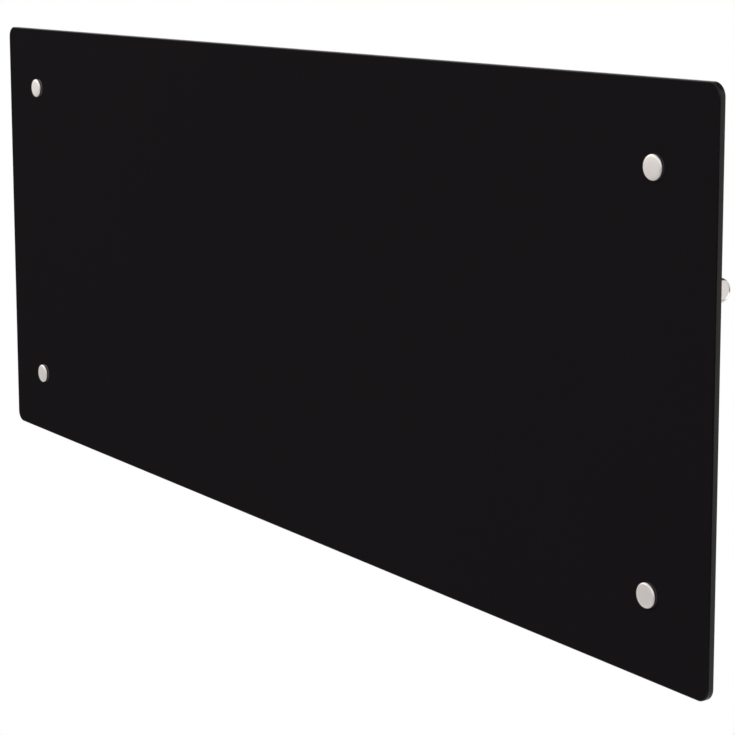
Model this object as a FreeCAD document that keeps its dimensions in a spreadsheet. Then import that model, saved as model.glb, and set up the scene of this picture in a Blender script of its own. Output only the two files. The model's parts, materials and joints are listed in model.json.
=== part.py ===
import FreeCAD, Part
import Sketcher
import math
import os
import re

# Wall-hung panel heater with a glass front, as separate pieces.
# The origin is the centre of the four wall holes, on the wall.
# X runs along the wall, Y points into the wall and Z points up, so the glass faces -Y.

SIZES = [
    # glass front and its fixings
    ("glass_width", 925, "glass front, side to side"),
    ("glass_height", 370, "glass front, bottom to top"),
    ("glass_thickness", 5, "toughened glass"),
    ("glass_corner", 9, "radius of the glass corners"),
    ("glass_arris", 0.6, "ground edge of the glass"),
    ("cap_inset_side", 54.5, "cap centre from the side of the glass"),
    ("cap_inset_edge", 53.5, "cap centre from the top or bottom of the glass"),
    ("cap_diameter", 16, "round cap on the glass"),
    ("cap_height", 1.5, "cap above its gasket"),
    ("cap_rounding", 0.6, "rounded rim of the cap"),
    ("gasket_thickness", 0.4, "soft ring between cap and glass"),
    ("gasket_inset", 0.8, "ring set back from the rim of the cap"),
    ("shank_diameter", 8, "sleeve of the cap inside the glass"),
    ("stud_diameter", 5, "threaded stud"),
    ("thread_play", 0.05, "radial play between same-axis parts"),
    ("bush_wall", 1.6, "nylon bush in the glass hole"),
    ("bush_play", 0.15, "bush to glass"),
    ("washer_diameter", 18, "silicone washer behind the glass"),
    ("washer_thickness", 1.5, "silicone washer behind the glass"),
    ("standoff_diameter", 14, "spacer between washer and plate"),
    ("standoff_length", 5.5, "spacer between washer and plate"),
    ("nut_radius", 4.6, "half of the nut across its corners"),
    ("nut_height", 4, "nut behind the plate"),
    ("stud_beyond_nut", 1.5, "stud past its nut"),
    # sheet steel casing
    ("sheet", 1, "casing sheet"),
    ("plate_margin_side", 12, "plate past the cap centres, sideways"),
    ("plate_margin_edge", 18.5, "plate past the cap centres, up and down"),
    ("plate_flange", 8, "folded edge of the front plate"),
    ("shell_inset", 35, "side of the shell inside the side of the plate"),
    ("shell_depth", 45, "front plate to the back of the casing"),
    ("wall_gap", 24, "back of the casing to the wall"),
    ("shell_bend", 1.8, "outer radius of the folds of the shell"),
    ("cap_flange", 9, "folded edge of the end caps"),
    ("vent_end", 40, "end of the vent rows to the side of the shell"),
    ("vent_width", 3, "slot in the back"),
    ("vent_height", 20, "slot in the back"),
    ("vent_below_arm", 58, "middle of the upper slots below the top of the bracket"),
    ("inlet_length", 13, "slot in the bottom"),
    ("inlet_width", 8, "slot in the bottom"),
    ("inlet_row_gap", 6, "between the two rows of bottom slots"),
    ("grille_sheet", 1.2, "outlet grille"),
    ("grille_lip", 3, "grille past the opening that it covers"),
    ("grille_border", 5, "opening to the folds on both sides"),
    ("grille_slot_length", 14, "slot in the grille"),
    ("grille_slot_share", 0.36, "slot width as a share of the opening"),
    ("screw_radius", 1.6, "casing screw"),
    ("screw_head_radius", 3.1, "casing screw"),
    ("screw_head_height", 1.6, "casing screw"),
    ("screw_length", 6, "casing screw under its head"),
    ("screw_inset", 90, "outer casing screws to the side of the shell"),
    # heating element
    ("element_end", 75, "end of the fins to the side of the shell"),
    ("element_height", 44, "element axis above the bottom of the shell"),
    ("element_play", 1.4, "fin tips to the heat shield"),
    ("fin_half", 1.1, "half thickness of a fin, along one axis"),
    ("hub_radius", 8, "middle tube of the element"),
    ("sheath_radius", 4, "steel heating rod"),
    ("sheath_beyond", 20, "heating rod past the fins"),
    ("insulator_radius", 5.5, "ceramic end bush"),
    ("insulator_length", 8, "ceramic end bush"),
    ("terminal_radius", 1.6, "terminal pin"),
    ("terminal_length", 8, "terminal pin past its bush"),
    ("bracket_from_fins", 8, "element bracket to the end of the fins"),
    ("bracket_half", 15, "half width of an element bracket"),
    ("bracket_above", 14, "element bracket above the axis"),
    ("bracket_foot", 12, "foot of an element bracket"),
    ("shield_depth", 3.4, "heat shield off the front plate"),
    ("shield_sheet", 0.6, "heat shield"),
    ("shield_side", 30, "heat shield to the side of the shell"),
    ("shield_below", 28, "heat shield below the element axis"),
    ("shield_above", 60, "heat shield above the element axis"),
    # thermal cut-out
    ("cutout_side", 90, "cut-out from the middle"),
    ("cutout_below_catch", 10, "cut-out axis below the foot of the catches"),
    ("cutout_radius", 8, "cut-out body"),
    ("cutout_depth", 7, "cut-out body"),
    ("cutout_ear", 13, "half length of the mounting ears"),
    ("cutout_ear_half", 5, "half height of the mounting ears"),
    ("blade_half", 3.1, "half height of a blade terminal"),
    ("blade_thickness", 0.8, "blade terminal"),
    ("blade_length", 8, "blade terminal outside the body"),
    # thermostat at the right-hand end
    ("base_thickness", 2, "base plate of the thermostat"),
    ("housing_width", 23, "housing out from its base"),
    ("housing_depth", 26.5, "housing, front to back"),
    ("housing_height", 140, "housing, bottom to top"),
    ("housing_rise", 25, "middle of the housing above the middle"),
    ("housing_gap", 6.25, "housing behind the edge of the front plate"),
    ("housing_wall", 2, "housing wall"),
    ("knob_from_top", 39.5, "knob axis below the top of the housing"),
    ("knob_diameter", 16, "thermostat knob"),
    ("knob_length", 16.4, "thermostat knob"),
    ("knob_gap", 0.6, "knob to housing"),
    ("knob_rounding", 2.2, "shoulder of the knob"),
    ("knob_face_wall", 3, "knob past the end of its shaft"),
    ("knob_skirt_wall", 1.6, "wall of the hollow back of the knob"),
    ("knob_skirt_depth", 3, "hollow back of the knob"),
    ("pointer_width", 1, "mark on the knob"),
    ("pointer_depth", 0.4, "mark on the knob"),
    ("pointer_margin", 2.6, "mark to the edge of the knob"),
    ("pointer_length", 3.6, "mark on the knob"),
    ("shaft_radius", 3, "potentiometer shaft"),
    ("shaft_play", 0.05, "running play of the shaft"),
    ("shaft_hole_play", 0.6, "shaft to the housing wall"),
    ("pot_half", 6, "half of the potentiometer body"),
    ("pot_depth", 8, "potentiometer body"),
    ("pot_neck_radius", 4.5, "neck of the potentiometer"),
    ("pot_neck_length", 5, "neck of the potentiometer"),
    ("pot_floor", 1.2, "potentiometer behind the end of the shaft"),
    ("board_standoff", 4, "circuit board off the base"),
    ("board_thickness", 1.6, "circuit board"),
    ("board_margin", 2.2, "circuit board to the inside of the housing"),
    ("board_above_grommet", 2, "circuit board above the rim of the grommet"),
    ("boss_radius", 2.4, "boss under the circuit board"),
    ("boss_inset", 3.5, "boss to the edge of the circuit board"),
    ("relay_width", 15, "relay"),
    ("relay_height", 17, "relay"),
    ("relay_depth", 12, "relay"),
    ("relay_from_top", 1.5, "relay to the top of the circuit board"),
    ("capacitor_radius", 4.5, "capacitor"),
    ("capacitor_length", 12, "capacitor"),
    ("lamp_radius", 1.9, "pilot lamp"),
    ("lens_radius", 2.5, "lens of the pilot lamp"),
    ("lens_proud", 1.8, "lens out of the housing"),
    ("lens_rounding", 1.2, "rounded end of the lens"),
    ("lens_inside", 3, "lens inside the housing"),
    ("lens_play", 0.1, "lens to housing"),
    ("lamp_gap", 0.3, "lamp to lens"),
    ("bezel_height", 21, "rim of the rocker switch"),
    ("bezel_width", 15, "rim of the rocker switch"),
    ("bezel_thickness", 1.5, "rim of the rocker switch"),
    ("switch_above_block", 0.5, "rim of the rocker switch above the terminal block"),
    ("switch_step", 1.1, "rim past the body of the switch"),
    ("switch_depth", 13, "switch behind the face of the housing"),
    ("switch_play", 0.1, "switch to the housing"),
    ("rocker_half", 7.3, "half length of the rocker"),
    ("rocker_width", 9.6, "rocker"),
    ("rocker_end_height", 3.6, "ends of the rocker above its axis"),
    ("rocker_middle_height", 2.6, "middle of the rocker above its axis"),
    ("rocker_thickness", 2.4, "rocker"),
    ("rocker_hub", 2.4, "hub of the rocker"),
    ("rocker_sink", 2, "rocker axis behind the rim"),
    ("rocker_side_play", 0.3, "rocker to its window, sideways"),
    ("rocker_end_play", 1, "rocker to its window, at the ends"),
    ("window_depth", 6.5, "window below the rocker axis"),
    ("trunnion_radius", 1, "pin of the rocker"),
    ("trunnion_length", 1, "pin of the rocker"),
    ("rocker_angle", 8, "rocker off its middle, in degrees"),
    ("gland_bore", 3.6, "radius of the way through the gland"),
    ("gland_thread", 6, "radius of the thread of the gland"),
    ("gland_flange", 8.5, "radius of the flange of the gland"),
    ("gland_flange_height", 5, "flange of the gland"),
    ("gland_dome", 6.6, "radius of the dome nut"),
    ("gland_dome_height", 9, "dome nut"),
    ("gland_thread_length", 8, "thread above the flange"),
    ("gland_nut_radius", 8.2, "half of the lock nut across its corners"),
    ("gland_nut_height", 3.5, "lock nut"),
    ("block_width", 18, "terminal block"),
    ("block_height", 12, "terminal block"),
    ("block_depth", 8, "terminal block"),
    ("block_above_nut", 2, "terminal block above the end of the gland"),
    ("block_screw_radius", 1.5, "terminal screw"),
    ("block_screw_height", 0.8, "head of the terminal screw"),
    ("grommet_above_switch", 8, "grommet above the axis of the switch"),
    ("grommet_bore", 4.2, "radius of the way through the grommet"),
    ("grommet_hole", 5.4, "radius of the hole for the grommet"),
    ("grommet_flange", 6.8, "radius of the rims of the grommet"),
    ("grommet_rim", 1.3, "rim of the grommet"),
    ("sensor_side", 45, "room sensor inside the side of the shell"),
    ("sensor_half", 6, "half of the sensor holder"),
    ("sensor_drop", 8, "sensor holder below the shell"),
    ("bead_radius", 2, "sensor bead"),
    ("bead_drop", 5, "sensor bead below its holder"),
    # internal leads
    ("lead_radius", 1, "internal lead"),
    ("lead_spacing", 2.6, "between leads in the grommet"),
    ("lead_bend", 5, "bend of an internal lead"),
    ("lead_run_side", 16, "leads inside the end cap"),
    ("lead_step", 7, "between leads that turn up and down"),
    ("earth_drop", 36, "earth screw below the grommet"),
    ("earth_head", 3, "head of the earth screw"),
    ("earth_head_height", 2, "head of the earth screw"),
    # pivot on the casing
    ("pin_height", 31, "pivot above the bottom of the shell"),
    ("pin_offset", 10, "pivot behind the casing"),
    ("pin_radius", 3, "pivot pin"),
    ("pin_beyond_lug", 1, "pivot pin past its lugs"),
    ("lug_gap", 3.5, "lug to the side of the upright"),
    ("lug_thickness", 2, "lug"),
    ("lug_half", 6, "half height of a lug"),
    ("lug_beyond_pin", 5, "lug behind the pivot"),
    ("lug_base_half", 9, "half height of the base of the lugs"),
    ("lug_base", 1.5, "base of the lugs"),
    # wall bracket
    ("hole_spacing_x", 500, "wall holes, side to side"),
    ("wall_hole_margin", 28, "upper wall holes below the top of the bracket"),
    ("wall_hole_radius", 2.75, "wall hole"),
    ("bracket_sheet", 2, "bracket sheet"),
    ("upright_half", 18, "half width of an upright"),
    ("upright_flange", 8, "folded sides of an upright"),
    ("arm_below_top", 31, "top of the bracket below the top of the shell"),
    ("hook_wall", 3, "hook around its liner"),
    ("hook_lip", 10, "front lip of the hook above the pivot"),
    ("hook_back", 16, "hook plate above the pivot"),
    ("liner_wall", 1.5, "plastic liner of the hook"),
    ("liner_cheek", 0.8, "liner on each side of the hook"),
    ("liner_cheek_rim", 1.2, "cheek past the liner"),
    ("pin_play", 0.05, "running play of the pivot pin"),
    ("arm_drop", 26, "end plate of the top arm"),
    ("pad_thickness", 2, "rest pad"),
    ("pad_half", 14, "half length of a rest pad"),
    ("pad_height", 5, "rest pad"),
    ("pad_from_top", 1.5, "rest pad to the top of the arm"),
    ("rail_half", 15, "half height of the cross rail"),
    ("rail_sheet", 1.5, "cross rail"),
    ("rail_end", 10, "cross rail past the middle of the upright"),
    ("rail_play", 0.5, "cross rail to the notch in the upright"),
    ("rivet_radius", 2.4, "rivet"),
    ("rivet_head_radius", 4, "rivet"),
    ("rivet_head_height", 1.2, "rivet"),
    ("rivet_step", 8, "rivets above and below the middle of the rail"),
    # sliding catches
    ("catch_half", 8, "half width of a catch"),
    ("catch_thickness", 2.5, "catch"),
    ("catch_play", 0.3, "catch to what guides it"),
    ("catch_side_play", 0.5, "catch to the sides of its guide"),
    ("catch_rise", 30, "thumb tab above the arm"),
    ("tab_reach", 9, "thumb tab, front to back"),
    ("tab_thickness", 3, "thumb tab"),
    ("nose_below_arm", 20, "bottom of the nose below the top of the arm"),
    ("nose_half", 5, "half width of the nose"),
    ("nose_height", 4, "bar of the nose"),
    ("nose_hook", 5, "hook of the nose above its bar"),
    ("nose_hook_depth", 4, "hook of the nose"),
    ("nose_play", 0.8, "hook of the nose to the sheet"),
    ("nose_side_play", 1, "nose to the sides of its slot"),
    ("nose_low_play", 1.5, "nose to the bottom of its slot"),
    ("catch_travel", 5.5, "catch, open to locked"),
    ("catch_foot", 3, "catch below its nose"),
    ("guide_thickness", 1.5, "guide clip"),
    ("guide_side", 3.5, "leg of the guide clip"),
    ("guide_height", 5, "guide clip"),
    ("guide_from_top", 5, "guide clip below the top of the arm"),
    ("overrun", 2, "cutting shapes past the face that they cut"),
]

# How many of each repeated feature
INLET_COUNT = 36
INLET_ROWS = 2
VENT_COUNT = 38
VENT_ROWS = 2
GRILLE_COUNT = 36
GRILLE_ROWS = 2

SIDES = (("left", -1), ("right", 1))
LEVELS = (("lower", -1), ("upper", 1))
NUT_SIDES = 6
POINTER_TURN = 135
LEAD_VOLUME_SHARE = 0.01
ROOT = "dim"

# Planes that pieces share, from the wall to the front
SHELL_BACK_Y = "(-wall_gap)"
PLATE_BACK_Y = f"({SHELL_BACK_Y} - shell_depth)"
PLATE_FRONT_Y = f"({PLATE_BACK_Y} - sheet)"
WASHER_BACK_Y = f"({PLATE_FRONT_Y} - standoff_length)"
GLASS_BACK_Y = f"({WASHER_BACK_Y} - washer_thickness)"
FACE_Y = f"({GLASS_BACK_Y} - glass_thickness)"
PLATE_EDGE_Y = f"({PLATE_BACK_Y} + plate_flange)"
SHELL_INNER_Y = f"({SHELL_BACK_Y} - sheet)"
ARM_END_Y = f"({SHELL_BACK_Y} + pad_thickness)"
PIN_Y = f"({SHELL_BACK_Y} + pin_offset)"
ELEMENT_Y = f"(({PLATE_BACK_Y} + {SHELL_INNER_Y}) / 2)"
OPENING_Y = (f"{PLATE_EDGE_Y} + grille_border", f"{SHELL_BACK_Y} - 2 * grille_border")

# Planes that pieces share, side to side
CAP_X = "(glass_width / 2 - cap_inset_side)"
PLATE_X = f"({CAP_X} + plate_margin_side)"
SHELL_X = f"({PLATE_X} - shell_inset)"
BASE_X = f"({SHELL_X} + base_thickness)"
HOUSING_X = f"({BASE_X} + housing_width)"
HOUSING_INNER_X = f"({HOUSING_X} - housing_wall)"
BLOCK_X = (BASE_X, f"{BASE_X} + block_depth")
BOARD_X = f"({BASE_X} + board_standoff)"
BOARD_FACE_X = f"({BOARD_X} + board_thickness)"
ELEMENT_X = f"({SHELL_X} - element_end)"

# Planes that pieces share, bottom to top
CAP_Z = "(glass_height / 2 - cap_inset_edge)"
PLATE_Z = f"({CAP_Z} + plate_margin_edge)"
SHELL_Z = f"({PLATE_Z} - sheet)"
SHELL_INNER_Z = f"({SHELL_Z} - sheet)"
ELEMENT_Z = f"(element_height - {SHELL_Z})"
PIN_Z = f"(pin_height - {SHELL_Z})"
ARM_Z = f"({SHELL_Z} - arm_below_top)"
WALL_HOLE_Z = f"({ARM_Z} - wall_hole_margin)"
VENT_Z = f"({ARM_Z} - vent_below_arm)"
NOSE_Z = f"({ARM_Z} - nose_below_arm)"
CUTOUT_Z = f"({NOSE_Z} - catch_foot - cutout_below_catch)"
HOUSING_TOP_Z = "(housing_rise + housing_height / 2)"
HOUSING_LOW_Z = "(housing_rise - housing_height / 2)"
KNOB_Z = f"({HOUSING_TOP_Z} - knob_from_top)"
GLAND_TOP_Z = f"({HOUSING_LOW_Z} + gland_thread_length)"
BLOCK_LOW_Z = f"({GLAND_TOP_Z} + block_above_nut)"
BLOCK_TOP_Z = f"({BLOCK_LOW_Z} + block_height)"
SWITCH_Z = f"({BLOCK_TOP_Z} + switch_above_block + bezel_height / 2)"
LAMP_Z = f"(({KNOB_Z} + {SWITCH_Z}) / 2)"
CAPACITOR_Z = f"(({KNOB_Z} + {LAMP_Z}) / 2)"
GROMMET_Z = f"({SWITCH_Z} + grommet_above_switch)"
EARTH_Z = f"({GROMMET_Z} - earth_drop)"
BOARD_LOW_Z = f"({GROMMET_Z} + grommet_flange + board_above_grommet)"
BOARD_TOP_Z = f"({HOUSING_TOP_Z} - housing_wall - board_margin)"

# The thermostat stands behind the folded edge of the front plate
HOUSING_FRONT_Y = f"({PLATE_EDGE_Y} + housing_gap)"
HOUSING_BACK_Y = f"({HOUSING_FRONT_Y} + housing_depth)"
CONTROL_Y = f"(({HOUSING_FRONT_Y} + {HOUSING_BACK_Y}) / 2)"
GLAND_X = f"(({BASE_X} + {HOUSING_INNER_X}) / 2)"
BOARD_HALF_Y = "(housing_depth / 2 - housing_wall - board_margin)"
KNOB_BACK_X = f"({HOUSING_X} + knob_gap)"
KNOB_FACE_X = f"({KNOB_BACK_X} + knob_length)"
PIVOT_X = f"({HOUSING_X} + bezel_thickness - rocker_sink)"

doc = FreeCAD.newDocument("PanelHeater")
sheet = doc.addObject("Spreadsheet::Sheet", ROOT)
pieces = []


def fill_sheet():
    """Write the driving sizes into the spreadsheet, each with its name."""
    for row, (name, number, note) in enumerate(SIZES, start=1):
        sheet.set(f"A{row}", name)
        sheet.set(f"B{row}", str(number))
        sheet.setAlias(f"B{row}", name)
        sheet.set(f"C{row}", note)
    doc.recompute()


NAMES = re.compile(r"\b(" + "|".join(name for name, _, _ in SIZES) + r")\b")


def formula(text):
    """The expression that FreeCAD reads, with the sheet in front of every size."""
    return NAMES.sub(ROOT + r".\1", str(text))


def value(text):
    """What an expression gives now."""
    return float(sheet.evalExpression(formula(text)))


def bind(item, prop, text):
    item.setExpression(prop, formula(text))


def piece(item, label):
    """Name a finished sub-part and keep it for the export."""
    item.Label = label
    pieces.append(item)
    return item


# Plain shapes bound to the sheet

TURNS = {
    "x": FreeCAD.Rotation(FreeCAD.Vector(0, 1, 0), 90),
    "y": FreeCAD.Rotation(FreeCAD.Vector(1, 0, 0), -90),
    "z": FreeCAD.Rotation(),
}


def place(item, x, y, z):
    for axis, text in (("x", x), ("y", y), ("z", z)):
        bind(item, "Placement.Base." + axis, text)


def block(name, x, y, z):
    """A box between two planes along each axis."""
    box = doc.addObject("Part::Box", name)
    for prop, (low, high) in (("Length", x), ("Width", y), ("Height", z)):
        bind(box, prop, f"({high}) - ({low})")
    place(box, x[0], y[0], z[0])
    return box


def along(axis, start, centre):
    """Where a round shape along one axis begins, in X, Y, Z order."""
    first, second = centre
    order = {"x": (start, first, second), "y": (first, start, second), "z": (first, second, start)}
    return order[axis]


def rod(name, axis, start, end, radius, centre):
    """A cylinder along one axis from start to end."""
    cylinder = doc.addObject("Part::Cylinder", name)
    cylinder.Placement = FreeCAD.Placement(FreeCAD.Vector(), TURNS[axis])
    bind(cylinder, "Radius", radius)
    bind(cylinder, "Height", f"({end}) - ({start})")
    place(cylinder, *along(axis, start, centre))
    return cylinder


def cone(name, axis, start, end, radii, centre):
    """A cone along one axis, with the radius at its start and at its end."""
    item = doc.addObject("Part::Cone", name)
    item.Placement = FreeCAD.Placement(FreeCAD.Vector(), TURNS[axis])
    bind(item, "Radius1", radii[0])
    bind(item, "Radius2", radii[1])
    bind(item, "Height", f"({end}) - ({start})")
    place(item, *along(axis, start, centre))
    return item


def hexagon(name, axis, start, end, radius, centre):
    """A six-sided prism along one axis."""
    prism = doc.addObject("Part::Prism", name)
    prism.Polygon = NUT_SIDES
    prism.Placement = FreeCAD.Placement(FreeCAD.Vector(), TURNS[axis])
    bind(prism, "Circumradius", radius)
    bind(prism, "Height", f"({end}) - ({start})")
    place(prism, *along(axis, start, centre))
    return prism


def join(name, parts):
    """One solid from several shapes that touch or overlap."""
    if len(parts) == 1:
        return parts[0]
    fused = doc.addObject("Part::MultiFuse", name)
    fused.Shapes = parts
    fused.Refine = True
    return fused


def cut(name, body, tools):
    """A shape with others taken out of it."""
    result = doc.addObject("Part::Cut", name)
    result.Base = body
    result.Tool = join(name + "_tools", tools)
    result.Refine = True
    return result


def group(name, solids):
    """Like pieces that stay separate solids of one sub-part."""
    compound = doc.addObject("Part::Compound", name)
    compound.Links = solids
    return compound


def tube(name, axis, start, end, radii, centre):
    """A ring or tube along one axis, with its outer and inner radius."""
    outer = rod(name + "_outer", axis, start, end, radii[0], centre)
    inner = rod(name + "_bore", axis, f"({start}) - overrun", f"({end}) + overrun", radii[1], centre)
    return cut(name, outer, [inner])


def spread(middle, half):
    """The two planes at equal distances from a middle one."""
    return (f"({middle}) - ({half})", f"({middle}) + ({half})")


def both_ways(half):
    return (f"-({half})", f"({half})")


def outward(sign, near, far):
    """Two planes on one side of the middle, in rising order."""
    return (near, far) if sign > 0 else (f"-({far})", f"-({near})")


# Sketched bodies

def new_body(name):
    return doc.addObject("PartDesign::Body", name)


def sketch_on(body, role, name, offset="0"):
    """A sketch on one of the body's own planes, moved along its normal."""
    sketch = body.newObject("Sketcher::SketchObject", name)
    plane = next(item for item in body.Origin.OriginFeatures if item.Role == role)
    sketch.AttachmentSupport = (plane, [""])
    sketch.MapMode = "FlatFace"
    if offset != "0":
        bind(sketch, "AttachmentOffset.Base.z", offset)
    return sketch


def pin_point(sketch, line, end, texts):
    """Tie one point of a sketch to the sheet."""
    for kind, text, axis in (("DistanceX", texts[0], -2), ("DistanceY", texts[1], -1)):
        if text == "0":
            sketch.addConstraint(Sketcher.Constraint("PointOnObject", line, end, axis))
            continue
        index = sketch.addConstraint(Sketcher.Constraint(kind, -1, 1, line, end, value(text)))
        bind(sketch, f"Constraints[{index}]", text)


def outline(sketch, points):
    """A closed outline of straight lines through points of the sheet."""
    corners = [FreeCAD.Vector(value(x), value(y), 0) for x, y in points]
    count = len(points)
    first = sketch.GeometryCount
    for step in range(count):
        sketch.addGeometry(Part.LineSegment(corners[step], corners[(step + 1) % count]), False)
    for step in range(count):
        following = first + (step + 1) % count
        sketch.addConstraint(Sketcher.Constraint("Coincident", first + step, 2, following, 1))
        pin_point(sketch, first + step, 1, points[step])


def rectangle(sketch, x, y):
    outline(sketch, [(x[0], y[0]), (x[1], y[0]), (x[1], y[1]), (x[0], y[1])])


def circle(sketch, centre, radius):
    middle = FreeCAD.Vector(value(centre[0]), value(centre[1]), 0)
    ring = Part.Circle(middle, FreeCAD.Vector(0, 0, 1), value(radius))
    index = sketch.addGeometry(ring, False)
    pin_point(sketch, index, 3, centre)
    size = sketch.addConstraint(Sketcher.Constraint("Radius", index, value(radius)))
    bind(sketch, f"Constraints[{size}]", radius)


def pad(body, sketch, length, symmetric=False):
    feature = body.newObject("PartDesign::Pad", body.Name + "_" + sketch.Name + "_pad")
    feature.Profile = sketch
    bind(feature, "Length", length)
    if symmetric:
        feature.SideType = "Symmetric"
    doc.recompute()
    return feature


def pocket(body, sketch, depth):
    """A pocket that cuts both ways from its sketch, and has to cut something."""
    before = body.Shape.Volume
    feature = body.newObject("PartDesign::Pocket", body.Name + "_" + sketch.Name + "_pocket")
    feature.Profile = sketch
    feature.SideType = "Symmetric"
    bind(feature, "Length", depth)
    doc.recompute()
    if body.Shape.Volume >= before:
        raise RuntimeError(f"{body.Name}: {sketch.Name} cuts nothing")
    return feature


def revolve(body, sketch, axis):
    feature = body.newObject("PartDesign::Revolution", body.Name + "_revolution")
    feature.Profile = sketch
    feature.ReferenceAxis = (sketch, [axis])
    doc.recompute()
    return feature


def grid(body, feature, sketch, lengths, counts):
    """Copies of a pocket in rows along the sketch's two axes."""
    before = body.Shape.Volume
    pattern = body.newObject("PartDesign::LinearPattern", feature.Name + "_rows")
    pattern.Originals = [feature]
    pattern.Direction = (sketch, ["H_Axis"])
    pattern.Direction2 = (sketch, ["V_Axis"])
    pattern.Occurrences = counts[0]
    pattern.Occurrences2 = counts[1]
    bind(pattern, "Length", lengths[0])
    bind(pattern, "Length2", lengths[1])
    body.Tip = pattern
    doc.recompute()
    if body.Shape.Volume >= before:
        raise RuntimeError(f"{body.Name}: the rows of {sketch.Name} cut nothing")
    return pattern


def edges_where(feature, test):
    return [f"Edge{number}" for number, edge in enumerate(feature.Shape.Edges, start=1) if test(edge)]


def near(first, second):
    return abs(first - second) < value("thread_play") / 2


def fillet(body, base, test, radius, kind="Fillet"):
    """Round or chamfer the edges that pass a test."""
    names = edges_where(base, test)
    if not names:
        raise RuntimeError(f"{body.Name}: no edge to round")
    feature = body.newObject("PartDesign::" + kind, base.Name + "_" + kind.lower())
    feature.Base = (base, names)
    bind(feature, "Radius" if kind == "Fillet" else "Size", radius)
    doc.recompute()
    return feature


# Glass front and the four fixings

CORNERS = [
    (f"{level}_{side}", f"{side_sign} * {CAP_X}", f"{level_sign} * {CAP_Z}")
    for side, side_sign in SIDES
    for level, level_sign in LEVELS
]
BUSH_RADIUS = "(shank_diameter / 2 + bush_wall)"
GLASS_HOLE = f"({BUSH_RADIUS} + bush_play)"
STUD_RADIUS = "(stud_diameter / 2)"
SHANK_RADIUS = "(shank_diameter / 2)"


def make_glass():
    body = new_body("glass_body")
    outline_sketch = sketch_on(body, "XZ_Plane", "glass_outline", f"-{GLASS_BACK_Y}")
    rectangle(outline_sketch, both_ways("glass_width / 2"), both_ways("glass_height / 2"))
    slab = pad(body, outline_sketch, "glass_thickness")
    thickness = value("glass_thickness")
    rounded = fillet(
        body,
        slab,
        lambda edge: near(edge.Length, thickness) and near(edge.BoundBox.YLength, thickness),
        "glass_corner",
    )
    # the arris runs round the whole front and back outline
    eased = fillet(body, rounded, lambda edge: near(edge.BoundBox.YLength, 0), "glass_arris", "Chamfer")
    body.Tip = eased
    holes = sketch_on(body, "XZ_Plane", "glass_holes", f"-{GLASS_BACK_Y}")
    for _, x, z in CORNERS:
        circle(holes, (x, z), GLASS_HOLE)
    pocket(body, holes, "2 * (glass_thickness + overrun)")
    piece(body, "glass_front")


def make_caps():
    """A turned cap with a hollow shank that reaches through the glass."""
    seat = f"({FACE_Y} - gasket_thickness)"
    top = f"({seat} - cap_height)"
    shank_end = WASHER_BACK_Y
    for name, x, z in CORNERS:
        body = new_body("cap_body_" + name)
        profile = sketch_on(body, "XY_Plane", "cap_profile_" + name)
        bore = f"({STUD_RADIUS} + thread_play)"
        points = [
            ("0", top),
            ("cap_diameter / 2", top),
            ("cap_diameter / 2", seat),
            (SHANK_RADIUS, seat),
            (SHANK_RADIUS, shank_end),
            (bore, shank_end),
            (bore, FACE_Y),
            ("0", FACE_Y),
        ]
        outline(profile, points)
        turned = revolve(body, profile, "V_Axis")
        height = value(top)
        radius = value("cap_diameter / 2")
        fillet(
            body,
            turned,
            lambda edge: near(edge.BoundBox.YMin, height)
            and near(edge.BoundBox.YMax, height)
            and near(edge.BoundBox.XLength, 2 * radius),
            "cap_rounding",
        )
        place(body, x, "0", z)
        piece(body, "cap_" + name)


def make_glass_fixings():
    around_shank = f"({SHANK_RADIUS} + thread_play)"
    around_stud = f"({STUD_RADIUS} + thread_play)"
    gaskets = []
    bushes = []
    washers = []
    spacers = []
    studs = []
    nuts = []
    for name, x, z in CORNERS:
        centre = (x, z)
        gasket_radii = ("cap_diameter / 2 - gasket_inset", around_shank)
        gasket_planes = (f"{FACE_Y} - gasket_thickness", FACE_Y)
        gaskets.append(tube("gasket_" + name, "y", *gasket_planes, gasket_radii, centre))
        bush_radii = (BUSH_RADIUS, around_shank)
        bushes.append(tube("bush_" + name, "y", FACE_Y, GLASS_BACK_Y, bush_radii, centre))
        washer_radii = ("washer_diameter / 2", around_shank)
        washers.append(tube("washer_" + name, "y", GLASS_BACK_Y, WASHER_BACK_Y, washer_radii, centre))
        spacer_radii = ("standoff_diameter / 2", around_stud)
        spacers.append(tube("spacer_" + name, "y", WASHER_BACK_Y, PLATE_FRONT_Y, spacer_radii, centre))
        stud_end = f"({PLATE_BACK_Y} + nut_height + stud_beyond_nut)"
        studs.append(rod("stud_" + name, "y", FACE_Y, stud_end, STUD_RADIUS, centre))
        nut_end = f"({PLATE_BACK_Y} + nut_height)"
        nut = hexagon("nut_outer_" + name, "y", PLATE_BACK_Y, nut_end, "nut_radius", centre)
        bore = rod("nut_bore_" + name, "y", PLATE_FRONT_Y, f"{nut_end} + overrun", around_stud, centre)
        nuts.append(cut("nut_" + name, nut, [bore]))
    piece(group("gasket_group", gaskets), "cap_gaskets")
    piece(group("bush_group", bushes), "glass_bushes")
    piece(group("washer_group", washers), "glass_washers")
    piece(group("spacer_group", spacers), "standoff_spacers")
    piece(group("stud_group", studs), "cap_studs")
    piece(group("nut_group", nuts), "stud_nuts")


# Sheet steel casing

SCREW_PLACES = [
    f"{side_sign} * ({SHELL_X} - screw_inset) * {share}"
    for _, side_sign in SIDES
    for share in ("1", "1 / 3")
]
SCREW_Y = f"({PLATE_BACK_Y} + plate_flange / 2)"
BACK_SCREW_X = f"({SHELL_X} - cap_flange / 2)"
BACK_SCREW_Z = f"({SHELL_Z} * 3 / 4)"
SCREW_HOLE = "(screw_radius + thread_play)"
NOSE_TOP = f"({NOSE_Z} + nose_height + catch_travel + nose_side_play)"


def tray(name, outer, inner):
    """A folded sheet: an outer box with an inner one taken out."""
    return cut(name, block(name + "_outer", *outer), [block(name + "_inner", *inner)])


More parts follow.
